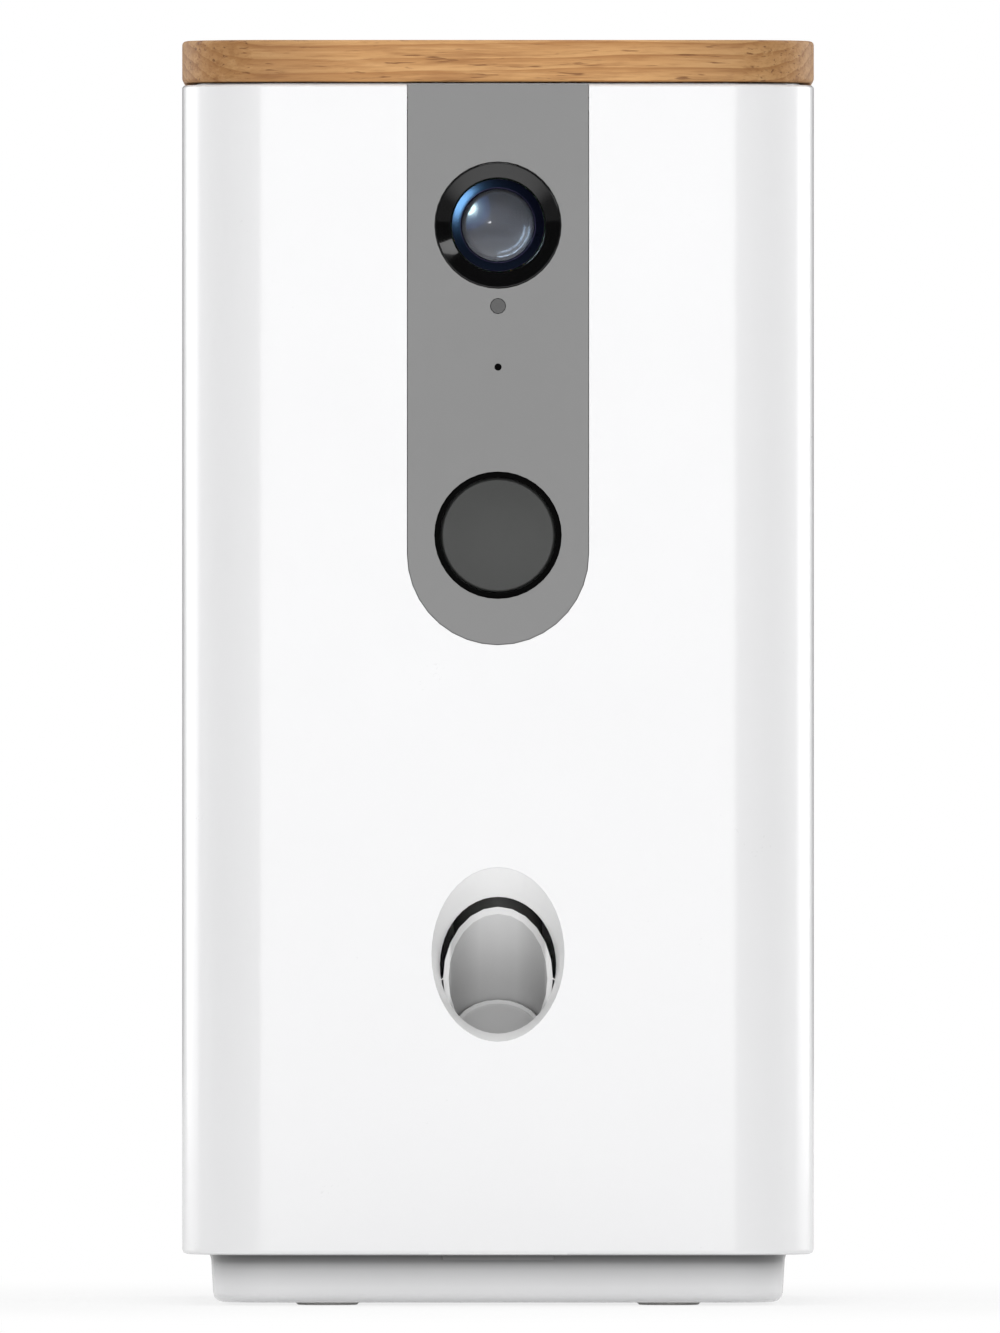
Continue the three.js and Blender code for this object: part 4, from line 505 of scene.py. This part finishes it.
def painted_recess_light(finish, body):
    """Painted light: the chute's recess gets a paler colour than the face round it, standing in for light
    falling into it.
    """
    near = finish.math("LESS_THAN", finish.from_middle("X"), RECESS_HALF_WIDTH)
    deep = finish.math("LESS_THAN", finish.from_middle("Y"), RECESS_START)
    return finish.mix(finish.math("MULTIPLY", near, deep), body, grey(253))


def painted_rim_highlight(finish, body):
    """Painted highlight: the plunger's disc is paler round its edge, standing in for a highlight on its rim.
    """
    return finish.mix(finish.edges(RIM_HIGHLIGHT_WIDTH), body, grey(250))


def shell_white(name, shading=None):
    return moulded(
        name, linear(240, 240, 241), rough=0.3, grain=1400.0, depth=0.004 * MM, mottle=0.006, shading=shading,
        Coat_Weight=0.6, Coat_Roughness=0.12, Specular_IOR_Level=0.6,
    )


def chute_grey(name, level, shading=None):
    return moulded(
        name, grey(level), rough=0.36, grain=3800.0, depth=0.008 * MM, mottle=0.02, rim=1.1, shading=shading
    )


def panel_grey():
    return moulded("panel_grey", grey(141), rough=0.5, grain=5200.0, depth=0.012 * MM, mottle=0.02, rim=1.12)


def button_grey():
    return moulded(
        "button_grey", linear(68, 69, 68), rough=0.38, grain=6500.0, depth=0.01 * MM, mottle=0.04, rim=1.1,
        Metallic=0.25,
    )


def matt_black():
    return moulded(
        "matt_black", (0.0012, 0.0012, 0.0012), rough=0.55, grain=4200.0, depth=0.01 * MM, mottle=0.2,
        Specular_IOR_Level=0.05,
    )


def gloss_black():
    return moulded(
        "gloss_black", (0.002, 0.002, 0.0022), rough=0.1, grain=2200.0, depth=0.002 * MM, mottle=0.2,
        Coat_Weight=1.0, Coat_Roughness=0.03,
    )


def smoke_plastic():
    return moulded(
        "smoke_plastic", grey(66), rough=0.25, grain=2500.0, depth=0.004 * MM, mottle=0.03, rim=1.2
    )


def black_plastic():
    return moulded(
        "black_plastic", linear(38, 38, 40), rough=0.45, grain=4200.0, depth=0.02 * MM, mottle=0.08, rim=1.6
    )


def natural_nylon():
    return moulded(
        "natural_nylon", linear(226, 221, 206), rough=0.45, grain=2600.0, depth=0.012 * MM, mottle=0.04,
        rim=1.05, Subsurface_Weight=0.15, Subsurface_Radius=(2 * MM, 1.6 * MM, 1.2 * MM),
    )


def black_rubber():
    return moulded("black_rubber", grey(34), rough=0.8, grain=3000.0, depth=0.03 * MM, mottle=0.1, rim=1.5)


def pale_rubber():
    return moulded(
        "pale_rubber", linear(214, 213, 210), rough=0.7, grain=3000.0, depth=0.02 * MM, mottle=0.03, rim=1.03
    )


def clear_silicone():
    return moulded(
        "clear_silicone", linear(222, 222, 218), rough=0.35, grain=1800.0, depth=0.01 * MM, mottle=0.03,
        Subsurface_Weight=0.4, Subsurface_Radius=(3 * MM, 3 * MM, 3 * MM), Transmission_Weight=0.25,
    )


def make_finishes():
    """One material for each of the record's slots."""
    return {
        "white_shell": shell_white("shell_white"),
        "oak": oak(),
        "grey_panel": panel_grey(),
        "matt_black": matt_black(),
        "gloss_black": gloss_black(),
        "button_grey": button_grey(),
        "lens_glass": coated_glass("lens_glass", (0.45, 0.46, 0.5)),
        "smoke_plastic": smoke_plastic(),
        "chute_grey": chute_grey("chute_grey", 200),
        "natural_nylon": natural_nylon(),
        "circuit_board": circuit(),
        "black_plastic": black_plastic(),
        "black_rubber": black_rubber(),
        "pale_rubber": pale_rubber(),
        "clear_silicone": clear_silicone(),
        "steel": metal("plated_steel", (0.62, 0.63, 0.65), 0.28, (300.0, 300.0, 2600.0)),
        "motor_steel": metal("motor_steel", (0.55, 0.56, 0.58), 0.36, (2400.0, 200.0, 2400.0)),
    }


def make_smoothing():
    """A modifier's nodes that shade facets as one surface up to the angle of a real edge."""
    group = bpy.data.node_groups.new("smooth_facets", "GeometryNodeTree")
    group.interface.new_socket("Geometry", in_out="INPUT", socket_type="NodeSocketGeometry")
    group.interface.new_socket("Geometry", in_out="OUTPUT", socket_type="NodeSocketGeometry")
    source = group.nodes.new("NodeGroupInput")
    faces = group.nodes.new("GeometryNodeSetShadeSmooth")
    faces.domain = "FACE"
    edges = group.nodes.new("GeometryNodeSetShadeSmooth")
    edges.domain = "EDGE"
    edges.inputs["Shade Smooth"].default_value = False
    angle = group.nodes.new("GeometryNodeInputMeshEdgeAngle")
    sharper = group.nodes.new("FunctionNodeCompare")
    sharper.operation = "GREATER_THAN"
    sharper.inputs[1].default_value = SHARP_ANGLE
    result = group.nodes.new("NodeGroupOutput")
    group.links.new(source.outputs[0], faces.inputs["Geometry"])
    group.links.new(faces.outputs["Geometry"], edges.inputs["Geometry"])
    group.links.new(angle.outputs["Unsigned Angle"], sharper.inputs[0])
    group.links.new(sharper.outputs[0], edges.inputs["Selection"])
    group.links.new(edges.outputs["Geometry"], result.inputs[0])
    return group


def soften(node, smoothing):
    """Shades the facets of turned and rounded faces as one, and keeps real edges crisp."""
    weld = node.modifiers.new("weld", "WELD")
    weld.merge_threshold = WELD
    merge = node.modifiers.new("merge_flats", "DECIMATE")
    merge.decimate_type = "DISSOLVE"
    merge.angle_limit = FLAT_ANGLE
    bevel = node.modifiers.new("bevel", "BEVEL")
    bevel.width = BEVEL_WIDTH
    bevel.segments = 2
    bevel.limit_method = "ANGLE"
    bevel.angle_limit = SHARP_ANGLE
    bevel.use_clamp_overlap = True
    smooth = node.modifiers.new("smooth", "NODES")
    smooth.node_group = smoothing
    weigh = node.modifiers.new("weigh_normals", "WEIGHTED_NORMAL")
    weigh.weight = 100
    weigh.keep_sharp = True


def dress_frame(finishes):
    """Gives each CAD node the finish of its slot."""
    smoothing = make_smoothing()
    slots = {row["node"]: row["material_slot"] for row in frame["record"]["subparts"]}
    special = {
        "lens_retainer": anodised(),
        "outer_housing": shell_white("housing_white_painted_recess_light", painted_recess_light),
        "base_plinth": shell_white("plinth_white_painted_shade", painted_shade_along("Z", PLINTH_SHADE)),
        "launch_barrel": chute_grey("barrel_grey_painted_shade", 228, painted_shade_along("X", BORE_SHADE)),
        "launch_plunger": chute_grey("plunger_grey_painted_highlight", 200, painted_rim_highlight),
    }
    for name, node in frame["nodes"].items():
        node.data.materials.clear()
        node.data.materials.append(special.get(name, finishes[slots[name]]))
        soften(node, smoothing)


def coil_mesh(name, axis, across, middle, radius, low, high, wire, turns):
    """A helix of round wire round an axis, between two places along it."""
    up = axis.cross(across)
    slope = math.atan2((high - low) / turns, 2 * math.pi * radius)
    steps = turns * COIL_STEPS
    points = []
    for step in range(steps + 1):
        turn = 2 * math.pi * step / COIL_STEPS
        outward = math.cos(turn) * across + math.sin(turn) * up
        onward = math.cos(turn) * up - math.sin(turn) * across
        tilted = math.cos(slope) * axis - math.sin(slope) * onward
        centre = middle + radius * outward + axis * (low + (high - low) * step / steps)
        for side in range(COIL_SIDES):
            around = 2 * math.pi * side / COIL_SIDES
            points.append(centre + wire * (math.cos(around) * outward + math.sin(around) * tilted))
    faces = [tuple(range(COIL_SIDES)), tuple(reversed(range(steps * COIL_SIDES, len(points))))]
    for step in range(steps):
        for side in range(COIL_SIDES):
            a = step * COIL_SIDES + side
            b = step * COIL_SIDES + (side + 1) % COIL_SIDES
            faces.append((a, a + COIL_SIDES, b + COIL_SIDES, b))
    mesh = bpy.data.meshes.new(name)
    mesh.from_pydata(points, [], faces)
    for face in mesh.polygons:
        face.use_smooth = len(face.vertices) == 4
    return mesh


def wind(name, node, joint, wire, turns, finish):
    """A spring of round wire in a CAD spring's place, riding on its joint's parent body."""
    row = next(row for row in frame["joints"] if row["name"] == joint)
    axis = Vector(row["axis"]).normalized()
    across = Vector((1.0, 0.0, 0.0))
    up = axis.cross(across)
    along = [axis.dot(vertex.co) for vertex in frame["nodes"][node].data.vertices]
    heights = [up.dot(vertex.co) for vertex in frame["nodes"][node].data.vertices]
    middle = up * (min(heights) + max(heights)) / 2
    radius = (max(heights) - min(heights)) / 2 - wire
    low, high = min(along) + wire, max(along) - wire
    mesh = coil_mesh(name, axis, across, middle, radius, low, high, wire, turns)
    mesh.materials.append(finish)
    piece = bpy.data.objects.new(name, mesh)
    bpy.context.collection.objects.link(piece)
    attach(piece, row["parent"])
    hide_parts(node)
    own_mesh(piece)


def aimed(thing, place, target):
    """Places a lamp or camera and turns it to a target."""
    thing.location = place
    thing.rotation_euler = (Vector(target) - Vector(place)).to_track_quat("-Z", "Y").to_euler()
    bpy.context.collection.objects.link(thing)
    return thing


def softbox(name, place, target, width, height, power, color=WHITE):
    """An area lamp that the camera doesn't see."""
    light = bpy.data.lights.new(name, "AREA")
    light.shape = "RECTANGLE"
    light.size = width
    light.size_y = height
    light.energy = power
    light.color = color
    lamp = aimed(bpy.data.objects.new(name, light), place, target)
    lamp.visible_camera = False
    return lamp


def shine_on(lamp, nodes, state="INCLUDE"):
    """Keeps a lamp's light to some of the CAD's nodes, or off them."""
    group = bpy.data.collections.new(lamp.name + "_on")
    for node in nodes:
        group.objects.link(frame["nodes"][node])
    for row in group.collection_objects:
        row.light_linking.link_state = state
    lamp.light_linking.receiver_collection = group


def card(name, direction, distance, width, height, radiance, color, nodes):
    """A lamp that the gloss of some nodes mirrors, seen from the lens in a direction."""
    place = CARD_TARGET + distance * Vector(direction).normalized()
    lamp = softbox(name, place, CARD_TARGET, width, height, radiance * math.pi * width * height, color)
    lamp.data.shape = "ELLIPSE" if width == height else "RECTANGLE"
    lamp.visible_diffuse = False
    shine_on(lamp, nodes)
    return lamp


def make_lamps():
    lamps = {row[0]: softbox(*row) for row in LAMPS}
    lamps["key_light"].visible_glossy = False
    shine_on(lamps["front_light"], ["front_lens", "inner_lens", "lens_retainer"], "EXCLUDE")


def make_cards():
    """What the camera window mirrors."""
    lenses = ["front_lens", "inner_lens"]
    for i, (width, radiance, color) in enumerate(WINDOW_GLINT):
        card(f"window_card_{i}", WINDOW_DIRECTION, WINDOW_DISTANCE, width, width, radiance, color, lenses)
    for row in CARDS:
        card(*row)


def make_crescents():
    """Rows of narrow cards on circles round the view, which the front lens mirrors as arcs."""
    for i, (tilt, width, radiance) in enumerate(CRESCENTS):
        slant = math.sin(math.radians(tilt))
        length = CRESCENT_DISTANCE * slant * abs(CRESCENT_TURN) * CRESCENT_OVERLAP
        for step in range(CRESCENT_CARDS):
            turn = CRESCENT_START + CRESCENT_TURN * step
            direction = (slant * math.cos(turn), -math.cos(math.radians(tilt)), slant * math.sin(turn))
            lamp = card(
                f"crescent_card_{i}_{step}", direction, CRESCENT_DISTANCE, length, width, radiance,
                CRESCENT_COLOR, ["front_lens"],
            )
            lamp.rotation_euler.rotate_axis("Z", turn - math.pi / 2)


def make_world():
    """White to the camera. Gloss mirrors a dark room in front and a backdrop with a dark middle behind."""
    world = bpy.data.worlds.new("studio")
    world.use_nodes = True
    nodes = Nodes(world.node_tree)
    path = nodes.node("LightPath").outputs
    back = nodes.part(nodes.node("TexCoord").outputs["Generated"], "Y")
    backdrop = nodes.smoothly(back, ROOM, BACKDROP, BACKDROP_START, BACKDROP_END)
    flag = nodes.smoothly(back, 1.0, FLAG_LEVEL, FLAG_START, FLAG_END)
    mirrored = nodes.white("Background", nodes.math("MULTIPLY", backdrop, flag))
    lit = nodes.mix_shaders(path["Is Glossy Ray"], nodes.white("Background", AMBIENT), mirrored)
    seen = nodes.math("MAXIMUM", path["Is Camera Ray"], path["Is Transmission Ray"])
    shown = nodes.mix_shaders(seen, lit, nodes.white("Background", 1.0))
    nodes.node("OutputWorld", {0: shown})
    bpy.context.scene.world = world


def floor_paint():
    """Matt paint that glows to the camera, and shows gloss a pale floor near and a dark one in front."""
    material = bpy.data.materials.new("floor")
    material.use_nodes = True
    nodes = Nodes(material.node_tree)
    path = nodes.node("LightPath").outputs
    place = nodes.node("TexCoord").outputs["Object"]
    paint = nodes.node("BsdfDiffuse", {"Color": (FLOOR_GREY, FLOOR_GREY, FLOOR_GREY)}).outputs[0]
    mirror = nodes.smoothly(
        nodes.part(place, "Y"), FLOOR_MIRROR_FAR, FLOOR_MIRROR_NEAR, -FLOOR_MIRROR_END, -FLOOR_MIRROR_START
    )
    mirrored = nodes.mix_shaders(path["Is Glossy Ray"], paint, nodes.white("Emission", mirror))
    away = nodes.vectors("LENGTH", place)
    glow = nodes.smoothly(away, FLOOR_GLOW_NEAR, 1.0, FLOOR_GLOW_START, FLOOR_GLOW_END)
    seen = nodes.math("MULTIPLY", path["Is Camera Ray"], glow)
    shown = nodes.mix_shaders(seen, mirrored, nodes.white("Emission", 1.0))
    nodes.node("OutputMaterial", {0: shown})
    return material


def make_floor():
    half = FLOOR_SIZE / 2
    mesh = bpy.data.meshes.new("floor")
    corners = [(-half, -half), (half, -half), (half, half), (-half, half)]
    mesh.from_pydata([(*corner, -FLOOR_DROP) for corner in corners], [], [(0, 1, 2, 3)])
    mesh.materials.append(floor_paint())
    floor = bpy.data.objects.new("floor", mesh)
    bpy.context.collection.objects.link(floor)


def make_camera():
    data = bpy.data.cameras.new("camera")
    data.lens = LENS
    data.sensor_width = SENSOR
    data.clip_start = CLIP_START
    data.clip_end = CLIP_END
    distance = IMAGE_HEIGHT * PIXEL * LENS / SENSOR
    front = cad_box[0][1]
    camera = bpy.data.objects.new("camera", data)
    place = (IMAGE_CENTRE_X, front - distance, IMAGE_CENTRE_Z)
    aimed(camera, place, (IMAGE_CENTRE_X, 0.0, IMAGE_CENTRE_Z))
    bpy.context.scene.camera = camera


bpy.context.scene.view_settings.view_transform = "Standard"
make_world()
make_floor()
make_lamps()
make_cards()
make_crescents()
make_camera()
finishes = make_finishes()
dress_frame(finishes)
for name, node, joint, wire, turns in COILS:
    wind(name, node, joint, wire, turns, finishes["steel"])
